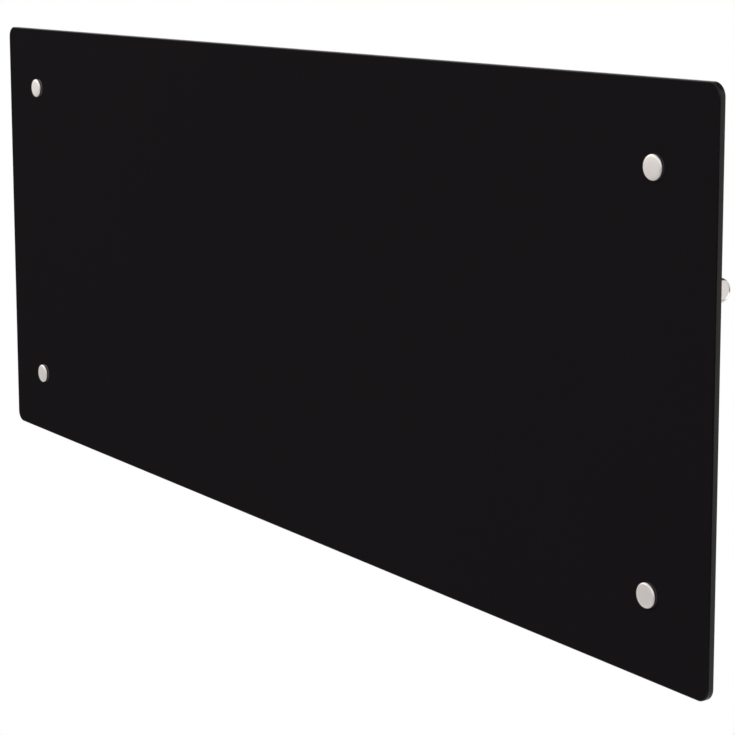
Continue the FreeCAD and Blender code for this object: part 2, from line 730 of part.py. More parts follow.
def top_bottom_holes():
    """Screw holes through the folded edges, at the top and at the bottom."""
    holes = []
    for number, x in enumerate(SCREW_PLACES):
        for level, sign in LEVELS:
            start, end = outward(sign, f"{SHELL_INNER_Z} - overrun", f"{PLATE_Z} + overrun")
            holes.append(rod(f"edge_hole_{level}_{number}", "z", start, end, SCREW_HOLE, (x, SCREW_Y)))
    return holes


def make_front_plate(edge_holes):
    outer = (both_ways(PLATE_X), (PLATE_FRONT_Y, PLATE_EDGE_Y), both_ways(PLATE_Z))
    inner_y = (PLATE_BACK_Y, f"{PLATE_EDGE_Y} + overrun")
    inner = (both_ways(f"{PLATE_X} - sheet"), inner_y, both_ways(f"{PLATE_Z} - sheet"))
    folded = tray("plate_tray", outer, inner)
    holes = []
    for name, x, z in CORNERS:
        start = f"{PLATE_FRONT_Y} - overrun"
        end = f"{PLATE_BACK_Y} + overrun"
        holes.append(rod("plate_hole_" + name, "y", start, end, f"{STUD_RADIUS} + thread_play", (x, z)))
    piece(cut("plate_drilled", folded, holes + edge_holes), "front_plate")


def make_rear_shell(edge_holes):
    """A U-shaped sheet: back, top and bottom, with rows of slots."""
    body = new_body("shell_body")
    section = sketch_on(body, "YZ_Plane", "shell_section")
    front, back, inner = PLATE_BACK_Y, SHELL_BACK_Y, SHELL_INNER_Y
    points = [
        (front, SHELL_Z),
        (back, SHELL_Z),
        (back, f"-{SHELL_Z}"),
        (front, f"-{SHELL_Z}"),
        (front, f"-{SHELL_INNER_Z}"),
        (inner, f"-{SHELL_INNER_Z}"),
        (inner, SHELL_INNER_Z),
        (front, SHELL_INNER_Z),
    ]
    outline(section, points)
    folded = pad(body, section, f"2 * {SHELL_X}", symmetric=True)
    back_plane = value(back)
    corner = value(SHELL_Z)
    fillet(
        body,
        folded,
        lambda edge: near(edge.BoundBox.YMin, back_plane)
        and near(edge.BoundBox.ZLength, 0)
        and near(abs(edge.BoundBox.ZMin), corner),
        "shell_bend",
    )

    row_half = f"({SHELL_X} - vent_end)"
    opening = sketch_on(body, "XY_Plane", "shell_opening", SHELL_Z)
    rectangle(opening, both_ways(row_half), OPENING_Y)
    pocket(body, opening, "2 * (sheet + overrun)")

    inlet = sketch_on(body, "XY_Plane", "shell_inlet", f"-{SHELL_Z}")
    first_x = (f"-{row_half}", f"-{row_half} + inlet_length")
    pitch_y = "(inlet_width + inlet_row_gap)"
    low_y = f"({ELEMENT_Y} - {pitch_y} / 2 - inlet_width / 2)"
    rectangle(inlet, first_x, (low_y, f"{low_y} + inlet_width"))
    first_inlet = pocket(body, inlet, "2 * (sheet + overrun)")
    span = f"2 * {row_half} - inlet_length"
    grid(body, first_inlet, inlet, (span, pitch_y), (INLET_COUNT, INLET_ROWS))

    vent = sketch_on(body, "XZ_Plane", "shell_vent", f"-{SHELL_BACK_Y}")
    low_z = f"(-{VENT_Z} - vent_height / 2)"
    rectangle(vent, (f"-{row_half}", f"-{row_half} + vent_width"), (low_z, f"{low_z} + vent_height"))
    first_vent = pocket(body, vent, "2 * (sheet + overrun)")
    span = f"2 * {row_half} - vent_width"
    grid(body, first_vent, vent, (span, f"2 * {VENT_Z}"), (VENT_COUNT, VENT_ROWS))

    tools = list(edge_holes)
    through_back = (f"{SHELL_INNER_Y} - overrun", f"{SHELL_BACK_Y} + overrun")
    for side, sign in SIDES:
        middle = f"{sign} * hole_spacing_x / 2"
        slot_x = spread(middle, "nose_half + nose_side_play")
        slot_z = (f"{NOSE_Z} - nose_low_play", NOSE_TOP)
        tools.append(block("nose_slot_" + side, slot_x, through_back, slot_z))
        for level, level_sign in LEVELS:
            centre = (f"{sign} * {BACK_SCREW_X}", f"{level_sign} * {BACK_SCREW_Z}")
            tools.append(rod(f"back_hole_{side}_{level}", "y", *through_back, SCREW_HOLE, centre))
    piece(cut("shell_drilled", body, tools), "rear_shell")


def make_end_caps():
    """Folded trays that close the two ends of the shell."""
    for side, sign in SIDES:
        outer_x = outward(sign, f"{SHELL_X} - cap_flange", SHELL_X)
        inner_x = outward(sign, f"{SHELL_X} - cap_flange - overrun", f"{SHELL_X} - sheet")
        y = (PLATE_BACK_Y, SHELL_INNER_Y)
        inner_y = (f"{PLATE_BACK_Y} + sheet", f"{SHELL_INNER_Y} - sheet")
        outer_z = both_ways(SHELL_INNER_Z)
        inner_z = both_ways(f"{SHELL_INNER_Z} - sheet")
        folded = tray("end_tray_" + side, (outer_x, y, outer_z), (inner_x, inner_y, inner_z))
        tools = []
        for level, level_sign in LEVELS:
            centre = (f"{sign} * {BACK_SCREW_X}", f"{level_sign} * {BACK_SCREW_Z}")
            through = (f"{SHELL_INNER_Y} - sheet - overrun", f"{SHELL_INNER_Y} + overrun")
            tools.append(rod(f"end_hole_{side}_{level}", "y", *through, SCREW_HOLE, centre))
        if sign > 0:
            through = (f"{SHELL_X} - sheet - overrun", f"{SHELL_X} + overrun")
            tools.append(rod("end_grommet_hole", "x", *through, "grommet_hole", (CONTROL_Y, GROMMET_Z)))
        piece(cut("end_cap_" + side, folded, tools), "end_cap_" + side)


def make_top_grille():
    """The warm air outlet: a flat strip with two rows of slots."""
    body = new_body("grille_body")
    half = f"({SHELL_X} - vent_end + grille_lip)"
    strip = sketch_on(body, "XY_Plane", "grille_strip", SHELL_Z)
    rectangle(strip, both_ways(half), (f"{OPENING_Y[0]} - grille_lip", f"{OPENING_Y[1]} + grille_lip"))
    pad(body, strip, "grille_sheet")
    slot = sketch_on(body, "XY_Plane", "grille_slot", SHELL_Z)
    depth = f"(({OPENING_Y[1]}) - ({OPENING_Y[0]}))"
    slot_width = f"({depth} * grille_slot_share)"
    border = f"({depth} * (1 / 2 - grille_slot_share) / 2)"
    row_half = f"({SHELL_X} - vent_end - {border})"
    low_y = f"({OPENING_Y[0]} + {border})"
    first_x = (f"-{row_half}", f"-{row_half} + grille_slot_length")
    rectangle(slot, first_x, (low_y, f"{low_y} + {slot_width}"))
    first = pocket(body, slot, "2 * (grille_sheet + overrun)")
    span = f"2 * {row_half} - grille_slot_length"
    grid(body, first, slot, (span, f"{depth} / 2"), (GRILLE_COUNT, GRILLE_ROWS))
    piece(body, "top_grille")


def make_casing_screws():
    screws = []
    for number, x in enumerate(SCREW_PLACES):
        for level, sign in LEVELS:
            centre = (x, SCREW_Y)
            head = outward(sign, PLATE_Z, f"{PLATE_Z} + screw_head_height")
            shank = outward(sign, f"{PLATE_Z} - screw_length", PLATE_Z)
            parts = [
                rod(f"edge_head_{level}_{number}", "z", *head, "screw_head_radius", centre),
                rod(f"edge_shank_{level}_{number}", "z", *shank, "screw_radius", centre),
            ]
            screws.append(join(f"edge_screw_{level}_{number}", parts))
    for side, sign in SIDES:
        for level, level_sign in LEVELS:
            centre = (f"{sign} * {BACK_SCREW_X}", f"{level_sign} * {BACK_SCREW_Z}")
            head_end = f"{SHELL_BACK_Y} + screw_head_height"
            shank_start = f"{SHELL_BACK_Y} - screw_length"
            parts = [
                rod(f"back_head_{side}_{level}", "y", SHELL_BACK_Y, head_end, "screw_head_radius", centre),
                rod(f"back_shank_{side}_{level}", "y", shank_start, SHELL_BACK_Y, "screw_radius", centre),
            ]
            screws.append(join(f"back_screw_{side}_{level}", parts))
    piece(group("casing_screw_group", screws), "casing_screws")


# Heating element

ELEMENT_AXIS = (ELEMENT_Y, ELEMENT_Z)
FIN_REACH = "((shell_depth - sheet) / 2 - shield_depth - element_play - fin_half)"
SHEATH_X = f"({ELEMENT_X} + sheath_beyond)"
INSULATOR_X = f"({SHEATH_X} + insulator_length)"
TERMINAL_X = f"({INSULATOR_X} + terminal_length)"


def make_element():
    """An extruded aluminium body with four fins in an X."""
    body = new_body("element_body")
    section = sketch_on(body, "YZ_Plane", "element_section")
    tip_far = f"({FIN_REACH} + fin_half)"
    tip_near = f"({FIN_REACH} - fin_half)"
    notch = "(2 * fin_half)"
    points = []
    for first, second in ((1, 1), (-1, 1), (-1, -1), (1, -1)):
        if first * second > 0:
            corner = [(tip_far, tip_near), (tip_near, tip_far)]
            inner = ("0", f"{second} * {notch}")
        else:
            corner = [(tip_near, tip_far), (tip_far, tip_near)]
            inner = (f"{first} * {notch}", "0")
        points += [(f"{first} * {x}", f"{second} * {y}") for x, y in corner]
        points.append(inner)
    outline(section, points)
    pad(body, section, f"2 * {ELEMENT_X}", symmetric=True)
    middle = sketch_on(body, "YZ_Plane", "element_hub")
    circle(middle, ("0", "0"), "hub_radius")
    pad(body, middle, f"2 * {ELEMENT_X}", symmetric=True)
    bore = sketch_on(body, "YZ_Plane", "element_bore")
    circle(bore, ("0", "0"), "sheath_radius + thread_play")
    pocket(body, bore, f"2 * ({ELEMENT_X} + overrun)")
    place(body, "0", ELEMENT_Y, ELEMENT_Z)
    piece(body, "element_fins")


def make_element_ends():
    insulators = []
    heater_rod = [rod("sheath", "x", f"-{SHEATH_X}", SHEATH_X, "sheath_radius", ELEMENT_AXIS)]
    for side, sign in SIDES:
        planes = outward(sign, SHEATH_X, INSULATOR_X)
        radii = ("insulator_radius", "terminal_radius + thread_play")
        insulators.append(tube("insulator_" + side, "x", *planes, radii, ELEMENT_AXIS))
        planes = outward(sign, SHEATH_X, TERMINAL_X)
        heater_rod.append(rod("terminal_" + side, "x", *planes, "terminal_radius", ELEMENT_AXIS))
        make_element_bracket(side, sign)
    piece(group("insulator_group", insulators), "element_insulators")
    piece(join("heater_rod", heater_rod), "element_sheath")


def make_element_bracket(side, sign):
    """An angle that stands on the bottom of the shell and carries the rod."""
    near_x = f"({ELEMENT_X} + bracket_from_fins)"
    plate_x = outward(sign, near_x, f"{near_x} + sheet")
    foot_x = outward(sign, f"{near_x} + sheet - bracket_foot", f"{near_x} + sheet")
    y = spread(ELEMENT_Y, "bracket_half")
    floor = f"-{SHELL_INNER_Z}"
    upright = block("element_upright_" + side, plate_x, y, (floor, f"{ELEMENT_Z} + bracket_above"))
    foot = block("element_foot_" + side, foot_x, y, (floor, f"{floor} + sheet"))
    through = outward(sign, f"{near_x} - overrun", f"{near_x} + sheet + overrun")
    bore = rod("element_hole_" + side, "x", *through, "sheath_radius + thread_play", ELEMENT_AXIS)
    angle = join("element_angle_" + side, [upright, foot])
    piece(cut("element_bracket_" + side, angle, [bore]), "element_bracket_" + side)


def make_heat_shield():
    """A shallow aluminium tray that stands on the front plate."""
    half = f"({SHELL_X} - shield_side)"
    back = f"({PLATE_BACK_Y} + shield_depth)"
    low = f"({ELEMENT_Z} - shield_below)"
    high = f"({ELEMENT_Z} + shield_above)"
    outer = (both_ways(half), (PLATE_BACK_Y, back), (low, high))
    inner_y = (f"{PLATE_BACK_Y} - overrun", f"{back} - shield_sheet")
    inner_z = (f"{low} + shield_sheet", f"{high} - shield_sheet")
    inner = (both_ways(f"{half} - shield_sheet"), inner_y, inner_z)
    piece(tray("shield_tray", outer, inner), "heat_shield")


CUTOUT_CENTRE = ("cutout_side", CUTOUT_Z)
BLADE_Y = f"({SHELL_INNER_Y} - cutout_depth / 2)"
BLADE_X = "(cutout_radius + blade_length)"


def make_cutout():
    front = f"({SHELL_INNER_Y} - cutout_depth)"
    disc = rod("cutout_disc", "y", front, SHELL_INNER_Y, "cutout_radius", CUTOUT_CENTRE)
    ears = block(
        "cutout_ears",
        spread("cutout_side", "cutout_ear"),
        (f"{SHELL_INNER_Y} - sheet", SHELL_INNER_Y),
        spread(CUTOUT_Z, "cutout_ear_half"),
    )
    body = join("cutout_whole", [disc, ears])
    z = spread(CUTOUT_Z, "blade_half")
    y = spread(BLADE_Y, "blade_thickness / 2")
    blades_x = spread("cutout_side", BLADE_X)
    piece(join("cutout_bladed", [body, block("cutout_blades", blades_x, y, z)]), "thermal_cutout")


# Thermostat, switch and supply entry

HOUSING_Y = (HOUSING_FRONT_Y, HOUSING_BACK_Y)
HOUSING_Z = (HOUSING_LOW_Z, HOUSING_TOP_Z)
CONTROL_AXIS = (CONTROL_Y, KNOB_Z)
SWITCH_Y = spread(CONTROL_Y, "bezel_width / 2 - switch_step")
SWITCH_SPAN_Z = spread(SWITCH_Z, "bezel_height / 2 - switch_step")


def make_base():
    plate = block("base_plate", (SHELL_X, BASE_X), HOUSING_Y, HOUSING_Z)
    parts = [plate]
    for side, sign in SIDES:
        y = f"{CONTROL_Y} + {sign} * ({BOARD_HALF_Y} - boss_inset)"
        heights = (("lower", f"{BOARD_LOW_Z} + boss_inset"), ("upper", f"{BOARD_TOP_Z} - boss_inset"))
        for level, z in heights:
            parts.append(rod(f"boss_{level}_{side}", "x", SHELL_X, BOARD_X, "boss_radius", (y, z)))
    through = (f"{SHELL_X} - overrun", f"{BASE_X} + overrun")
    hole = rod("base_grommet_hole", "x", *through, "grommet_hole", (CONTROL_Y, GROMMET_Z))
    piece(cut("base_drilled", join("base_whole", parts), [hole]), "thermostat_base")


def make_housing():
    outer = ((BASE_X, HOUSING_X), HOUSING_Y, HOUSING_Z)
    inner_y = (f"{HOUSING_FRONT_Y} + housing_wall", f"{HOUSING_BACK_Y} - housing_wall")
    inner_z = (f"{HOUSING_LOW_Z} + housing_wall", f"{HOUSING_TOP_Z} - housing_wall")
    shell = tray("housing_shell", outer, ((f"{BASE_X} - overrun", HOUSING_INNER_X), inner_y, inner_z))
    through = (f"{HOUSING_INNER_X} - overrun", f"{HOUSING_X} + overrun")
    switch_y = (f"{SWITCH_Y[0]} - switch_play", f"{SWITCH_Y[1]} + switch_play")
    switch_z = (f"{SWITCH_SPAN_Z[0]} - switch_play", f"{SWITCH_SPAN_Z[1]} + switch_play")
    down = (f"{HOUSING_LOW_Z} - overrun", f"{HOUSING_LOW_Z} + housing_wall + overrun")
    tools = [
        rod("shaft_hole", "x", *through, "shaft_radius + shaft_hole_play", CONTROL_AXIS),
        rod("lens_hole", "x", *through, "lens_radius + lens_play", (CONTROL_Y, LAMP_Z)),
        block("switch_hole", through, switch_y, switch_z),
        rod("gland_hole", "z", *down, "gland_thread + thread_play", (GLAND_X, CONTROL_Y)),
    ]
    piece(cut("housing_drilled", shell, tools), "thermostat_housing")


def make_board():
    y = spread(CONTROL_Y, BOARD_HALF_Y)
    piece(block("board", (BOARD_X, BOARD_FACE_X), y, (BOARD_LOW_Z, BOARD_TOP_Z)), "circuit_board")
    relay_top = f"({BOARD_TOP_Z} - relay_from_top)"
    relay_y = spread(CONTROL_Y, "relay_width / 2")
    relay_x = (BOARD_FACE_X, f"{BOARD_FACE_X} + relay_depth")
    piece(block("relay_box", relay_x, relay_y, (f"{relay_top} - relay_height", relay_top)), "relay")
    capacitor_end = f"{BOARD_FACE_X} + capacitor_length"
    centre = (CONTROL_Y, CAPACITOR_Z)
    piece(rod("capacitor_can", "x", BOARD_FACE_X, capacitor_end, "capacitor_radius", centre), "capacitor")


def make_potentiometer():
    y = spread(CONTROL_Y, "pot_half")
    z = spread(KNOB_Z, "pot_half")
    front = f"({BOARD_FACE_X} + pot_depth)"
    case = block("pot_case", (BOARD_FACE_X, front), y, z)
    neck = rod("pot_neck", "x", front, f"{front} + pot_neck_length", "pot_neck_radius", CONTROL_AXIS)
    floor = f"({BOARD_FACE_X} + pot_floor)"
    bore_end = f"{front} + pot_neck_length + overrun"
    bore = rod("pot_bore", "x", floor, bore_end, "shaft_radius + shaft_play", CONTROL_AXIS)
    piece(cut("pot_drilled", join("pot_whole", [case, neck]), [bore]), "potentiometer")
    shaft_start = f"{floor} + pot_floor / 2"
    shaft_end = f"{KNOB_FACE_X} - knob_face_wall"
    piece(rod("pot_shaft_rod", "x", shaft_start, shaft_end, "shaft_radius", CONTROL_AXIS), "pot_shaft")


def make_knob():
    """A turned knob with a hollow back, on the end of the shaft."""
    body = new_body("knob_body")
    profile = sketch_on(body, "XY_Plane", "knob_profile")
    radius = "(knob_diameter / 2)"
    bore = "(shaft_radius + thread_play)"
    hollow = f"({radius} - knob_skirt_wall)"
    hollow_end = f"({KNOB_BACK_X} + knob_skirt_depth)"
    bore_end = f"({KNOB_FACE_X} - knob_face_wall)"
    points = [
        (bore_end, "0"),
        (KNOB_FACE_X, "0"),
        (KNOB_FACE_X, radius),
        (KNOB_BACK_X, radius),
        (KNOB_BACK_X, hollow),
        (hollow_end, hollow),
        (hollow_end, bore),
        (bore_end, bore),
    ]
    outline(profile, points)
    turned = revolve(body, profile, "H_Axis")
    face = value(KNOB_FACE_X)
    fillet(
        body,
        turned,
        lambda edge: near(edge.BoundBox.XMin, face)
        and near(edge.BoundBox.XMax, face)
        and near(edge.BoundBox.YLength, value("knob_diameter")),
        "knob_rounding",
    )
    place(body, "0", CONTROL_Y, KNOB_Z)
    # the mark lies in a groove of its own and points down and to the front at rest
    angle = FreeCAD.Rotation(FreeCAD.Vector(1, 0, 0), POINTER_TURN)
    mark = pointer_bar("pointer_mark", KNOB_FACE_X, angle)
    groove = pointer_bar("pointer_groove", f"{KNOB_FACE_X} + overrun", angle)
    piece(cut("knob_grooved", body, [groove]), "thermostat_knob")
    piece(mark, "knob_pointer")


def pointer_bar(name, end_x, turn):
    """A short bar from the middle of the knob outward, turned about its axis."""
    bar = doc.addObject("Part::Box", name + "_bar")
    start = f"({KNOB_FACE_X} - pointer_depth)"
    inner = "(knob_diameter / 2 - pointer_margin - pointer_length)"
    bind(bar, "Length", f"{end_x} - {start}")
    bind(bar, "Width", "pointer_width")
    bind(bar, "Height", "pointer_length")
    place(bar, start, "-pointer_width / 2", inner)
    turned = doc.addObject("Part::Compound", name)
    turned.Links = [bar]
    turned.Placement = FreeCAD.Placement(FreeCAD.Vector(), turn)
    place(turned, "0", CONTROL_Y, KNOB_Z)
    return turned


def make_lamp():
    gap_plane = f"({HOUSING_INNER_X} - lens_inside)"
    lamp_end = f"{gap_plane} - lamp_gap"
    centre = (CONTROL_Y, LAMP_Z)
    piece(rod("lamp_glass", "x", BOARD_FACE_X, lamp_end, "lamp_radius", centre), "pilot_lamp")
    body = new_body("lens_body")
    profile = sketch_on(body, "XY_Plane", "lens_profile")
    end = f"({HOUSING_X} + lens_proud)"
    outline(profile, [(gap_plane, "0"), (end, "0"), (end, "lens_radius"), (gap_plane, "lens_radius")])
    turned = revolve(body, profile, "H_Axis")
    plane = value(end)
    fillet(
        body,
        turned,
        lambda edge: near(edge.BoundBox.XMin, plane)
        and near(edge.BoundBox.YLength, value("2 * lens_radius")),
        "lens_rounding",
    )
    place(body, "0", CONTROL_Y, LAMP_Z)
    piece(body, "pilot_lens")


def make_switch():
    rim_x = (HOUSING_X, f"{HOUSING_X} + bezel_thickness")
    rim_y = spread(CONTROL_Y, "bezel_width / 2")
    rim_z = spread(SWITCH_Z, "bezel_height / 2")
    rim = block("switch_rim", rim_x, rim_y, rim_z)
    case = block("switch_case", (f"{HOUSING_X} - switch_depth", HOUSING_X), SWITCH_Y, SWITCH_SPAN_Z)
    window_x = (f"{PIVOT_X} - window_depth", f"{rim_x[1]} + overrun")
    window_y = spread(CONTROL_Y, "rocker_width / 2 + rocker_side_play")
    window_z = spread(SWITCH_Z, "rocker_half + rocker_end_play")
    tools = [block("switch_window", window_x, window_y, window_z)]
    pin_reach = "(rocker_width / 2 + trunnion_length + rocker_side_play)"
    pin_centre = (PIVOT_X, SWITCH_Z)
    pin_y = spread(CONTROL_Y, pin_reach)
    tools.append(rod("trunnion_hole", "y", *pin_y, "trunnion_radius + shaft_play", pin_centre))
    piece(cut("switch_cut", join("switch_whole", [rim, case]), tools), "switch_body")


def make_rocker():
    """The rocker leans to its off side at rest."""
    body = new_body("rocker_body")
    profile = sketch_on(body, "XZ_Plane", "rocker_profile")
    under = "(rocker_end_height - rocker_thickness)"
    points = [
        ("rocker_end_height", "-rocker_half"),
        ("rocker_middle_height", "0"),
        ("rocker_end_height", "rocker_half"),
        (under, "rocker_half"),
        ("-rocker_hub", "rocker_hub"),
        ("-rocker_hub", "-rocker_hub"),
        (under, "-rocker_half"),
    ]
    outline(profile, points)
    pad(body, profile, "rocker_width", symmetric=True)
    pins = sketch_on(body, "XZ_Plane", "rocker_pins")
    circle(pins, ("0", "0"), "trunnion_radius")
    pad(body, pins, "rocker_width + 2 * trunnion_length", symmetric=True)
    body.Placement = FreeCAD.Placement(FreeCAD.Vector(), FreeCAD.Rotation(FreeCAD.Vector(0, 1, 0), 1))
    bind(body, "Placement.Rotation.Angle", "rocker_angle")
    place(body, PIVOT_X, CONTROL_Y, SWITCH_Z)
    piece(body, "rocker")


def make_gland():
    centre = (GLAND_X, CONTROL_Y)
    flange_low = f"({HOUSING_LOW_Z} - gland_flange_height)"
    dome_low = f"({flange_low} - gland_dome_height)"
    dome_radii = ("gland_thread - housing_wall / 2", "gland_dome")
    parts = [
        rod("gland_threaded", "z", flange_low, GLAND_TOP_Z, "gland_thread", centre),
        hexagon("gland_hexagon", "z", flange_low, HOUSING_LOW_Z, "gland_flange", centre),
        cone("gland_dome_nut", "z", dome_low, flange_low, dome_radii, centre),
    ]
    through = (f"{dome_low} - overrun", f"{GLAND_TOP_Z} + overrun")
    bore = rod("gland_way", "z", *through, "gland_bore", centre)
    piece(cut("gland_bored", join("gland_whole", parts), [bore]), "cable_gland")
    seat = f"({HOUSING_LOW_Z} + housing_wall)"
    nut = hexagon("gland_nut_outer", "z", seat, f"{seat} + gland_nut_height", "gland_nut_radius", centre)
    around = f"{seat} + gland_nut_height + overrun"
    hole = rod("gland_nut_bore", "z", f"{seat} - overrun", around, "gland_thread + thread_play", centre)
    piece(cut("gland_nut_bored", nut, [hole]), "gland_nut")


def make_terminal_block():
    y = spread(CONTROL_Y, "block_width / 2")
    piece(block("terminal_box", BLOCK_X, y, (BLOCK_LOW_Z, BLOCK_TOP_Z)), "terminal_block")
    middle = f"({BLOCK_LOW_Z} + {BLOCK_TOP_Z}) / 2"
    heads = []
    for step in (-1, 0, 1):
        centre = (f"{CONTROL_Y} + {step} * block_width / 3", middle)
        planes = (BLOCK_X[1], f"{BLOCK_X[1]} + block_screw_height")
        heads.append(rod(f"block_screw_{step + 1}", "x", *planes, "block_screw_radius", centre))
    piece(group("block_screw_group", heads), "terminal_screws")


def make_grommet():
    centre = (CONTROL_Y, GROMMET_Z)
    inside = f"({SHELL_X} - sheet)"
    middle = rod("grommet_core", "x", inside, BASE_X, "grommet_hole", centre)
    inner_rim = rod("grommet_inner", "x", f"{inside} - grommet_rim", inside, "grommet_flange", centre)
    outer_rim = rod("grommet_outer", "x", BASE_X, f"{BASE_X} + grommet_rim", "grommet_flange", centre)
    through = (f"{inside} - grommet_rim - overrun", f"{BASE_X} + grommet_rim + overrun")
    bore = rod("grommet_way", "x", *through, "grommet_bore", centre)
    whole = join("grommet_whole", [middle, inner_rim, outer_rim])
    piece(cut("grommet_bored", whole, [bore]), "lead_grommet")


def make_sensor():
    """The room sensor hangs under the shell, where cool air comes in."""
    x = f"({SHELL_X} - sensor_side)"
    low = f"({SHELL_Z} + sensor_drop)"
    y = spread(ELEMENT_Y, "sensor_half")
    holder = block("sensor_holder_box", spread(x, "sensor_half"), y, (f"-{low}", f"-{SHELL_Z}"))
    piece(holder, "sensor_holder")
    bead_start = f"-{low} - bead_drop"
    piece(rod("bead_rod", "z", bead_start, f"-{low}", "bead_radius", (x, ELEMENT_Y)), "room_sensor")


# Internal leads

LEAD_X = f"({BASE_X} + block_depth / 2)"
RIGHT_RUN_X = f"({TERMINAL_X} + lead_run_side)"
LIVE_RUN_X = f"({RIGHT_RUN_X} - lead_step)"
EARTH_RUN_X = f"({RIGHT_RUN_X} + lead_step)"
EARTH_FACE_X = f"({SHELL_X} - sheet - earth_head_height)"


def lead_path(points):
    """Straight runs joined by arcs of one bend radius."""
    corners = [FreeCAD.Vector(*(value(text) for text in point)) for point in points]
    bend = value("lead_bend")
    edges = []
    start = corners[0]
    for before, corner, after in zip(corners, corners[1:], corners[2:]):
        incoming = (corner - before).normalize()
        outgoing = (after - corner).normalize()
        half_turn = incoming.getAngle(outgoing) / 2
        trim = bend * math.tan(half_turn)
        inside = (outgoing - incoming).normalize()
        middle = corner + inside * (bend / math.cos(half_turn) - bend)
        first = corner - incoming * trim
        last = corner + outgoing * trim
        edges.append(Part.makeLine(start, first))
        edges.append(Part.Arc(first, middle, last).toShape())
        start = last
    edges.append(Part.makeLine(start, corners[-1]))
    return Part.Wire(edges)


def make_lead(name, points):
    """A round lead along its path, as a solid whose volume is checked."""
    path = lead_path(points)
    radius = value("lead_radius")
    first_edge = path.Edges[0]
    start = first_edge.valueAt(first_edge.FirstParameter)
    direction = first_edge.tangentAt(first_edge.FirstParameter)
    ring = Part.Wire([Part.makeCircle(radius, start, direction)])
    swept = path.makePipeShell([ring], True, False)
    expected = math.pi * radius**2 * path.Length
    if abs(swept.Volume / expected - 1) > LEAD_VOLUME_SHARE:
        raise RuntimeError(f"{name}: the lead has lost volume")
    lead = doc.addObject("Part::Feature", name + "_solid")
    lead.Shape = swept
    piece(lead, name)


def make_leads():
    """Three leads leave the terminal block through the grommet, and one joins cut-out and element."""
    neutral_y = f"({CONTROL_Y} - lead_spacing)"
    earth_y = f"({CONTROL_Y} + lead_spacing)"
    make_lead("neutral_lead", [
        (LEAD_X, neutral_y, BLOCK_TOP_Z),
        (LEAD_X, neutral_y, GROMMET_Z),
        (RIGHT_RUN_X, neutral_y, GROMMET_Z),
        (RIGHT_RUN_X, ELEMENT_Y, ELEMENT_Z),
        (TERMINAL_X, ELEMENT_Y, ELEMENT_Z),
    ])
    make_lead("live_lead", [
        (LEAD_X, CONTROL_Y, BLOCK_TOP_Z),
        (LEAD_X, CONTROL_Y, GROMMET_Z),
        (LIVE_RUN_X, CONTROL_Y, GROMMET_Z),
        (LIVE_RUN_X, BLADE_Y, CUTOUT_Z),
        (f"cutout_side + {BLADE_X}", BLADE_Y, CUTOUT_Z),
    ])
    make_lead("switched_lead", [
        (f"cutout_side - {BLADE_X}", BLADE_Y, CUTOUT_Z),
        (f"-{RIGHT_RUN_X}", BLADE_Y, CUTOUT_Z),
        (f"-{RIGHT_RUN_X}", ELEMENT_Y, ELEMENT_Z),
        (f"-{TERMINAL_X}", ELEMENT_Y, ELEMENT_Z),
    ])
    make_lead("earth_lead", [
        (LEAD_X, earth_y, BLOCK_TOP_Z),
        (LEAD_X, earth_y, GROMMET_Z),
        (EARTH_RUN_X, earth_y, GROMMET_Z),
        (EARTH_RUN_X, earth_y, EARTH_Z),
        (EARTH_FACE_X, earth_y, EARTH_Z),
    ])
    centre = (earth_y, EARTH_Z)
    head = rod("earth_screw_head", "x", EARTH_FACE_X, f"{SHELL_X} - sheet", "earth_head", centre)
    piece(head, "earth_screw")


# Pivot on the casing and hooks on the wall

PIN_AXIS = (PIN_Y, PIN_Z)
BORE_RADIUS = "(pin_radius + pin_play)"
NOTCH_RADIUS = f"({BORE_RADIUS} + liner_wall)"
HOOK_RADIUS = f"({NOTCH_RADIUS} + hook_wall)"
LUG_NEAR = "(upright_half + lug_gap)"
LUG_FAR = f"({LUG_NEAR} + lug_thickness)"
CATCH_Y = (
    f"({ARM_END_Y} + bracket_sheet + catch_play)",
    f"({ARM_END_Y} + bracket_sheet + catch_play + catch_thickness)",
)


def beside(middle, sign, near_half, far_half):
    """Two planes on one side of a middle plane, in rising order."""
    low, high = outward(sign, near_half, far_half)
    return (f"{middle} + ({low})", f"{middle} + ({high})")


def make_pivot():
    lugs = []
    pins = []
    for side, sign in SIDES:
        middle = f"({sign} * hole_spacing_x / 2)"
        base_y = (SHELL_BACK_Y, f"{SHELL_BACK_Y} + lug_base")
        parts = [block("lug_base_" + side, spread(middle, LUG_FAR), base_y, spread(PIN_Z, "lug_base_half"))]
        ear_y = (SHELL_BACK_Y, f"{PIN_Y} + lug_beyond_pin")
        for edge, edge_sign in SIDES:
            x = beside(middle, edge_sign, LUG_NEAR, LUG_FAR)
            parts.append(block(f"lug_ear_{side}_{edge}", x, ear_y, spread(PIN_Z, "lug_half")))
        through = spread(middle, f"{LUG_FAR} + overrun")
        bore = rod("lug_bore_" + side, "x", *through, "pin_radius + thread_play", PIN_AXIS)
        lugs.append(cut("lug_" + side, join("lug_whole_" + side, parts), [bore]))
        pin_x = spread(middle, f"{LUG_FAR} + pin_beyond_lug")
        pins.append(rod("pin_" + side, "x", *pin_x, "pin_radius", PIN_AXIS))
    piece(group("lug_group", lugs), "pivot_lugs")
    piece(group("pin_group", pins), "pivot_pins")


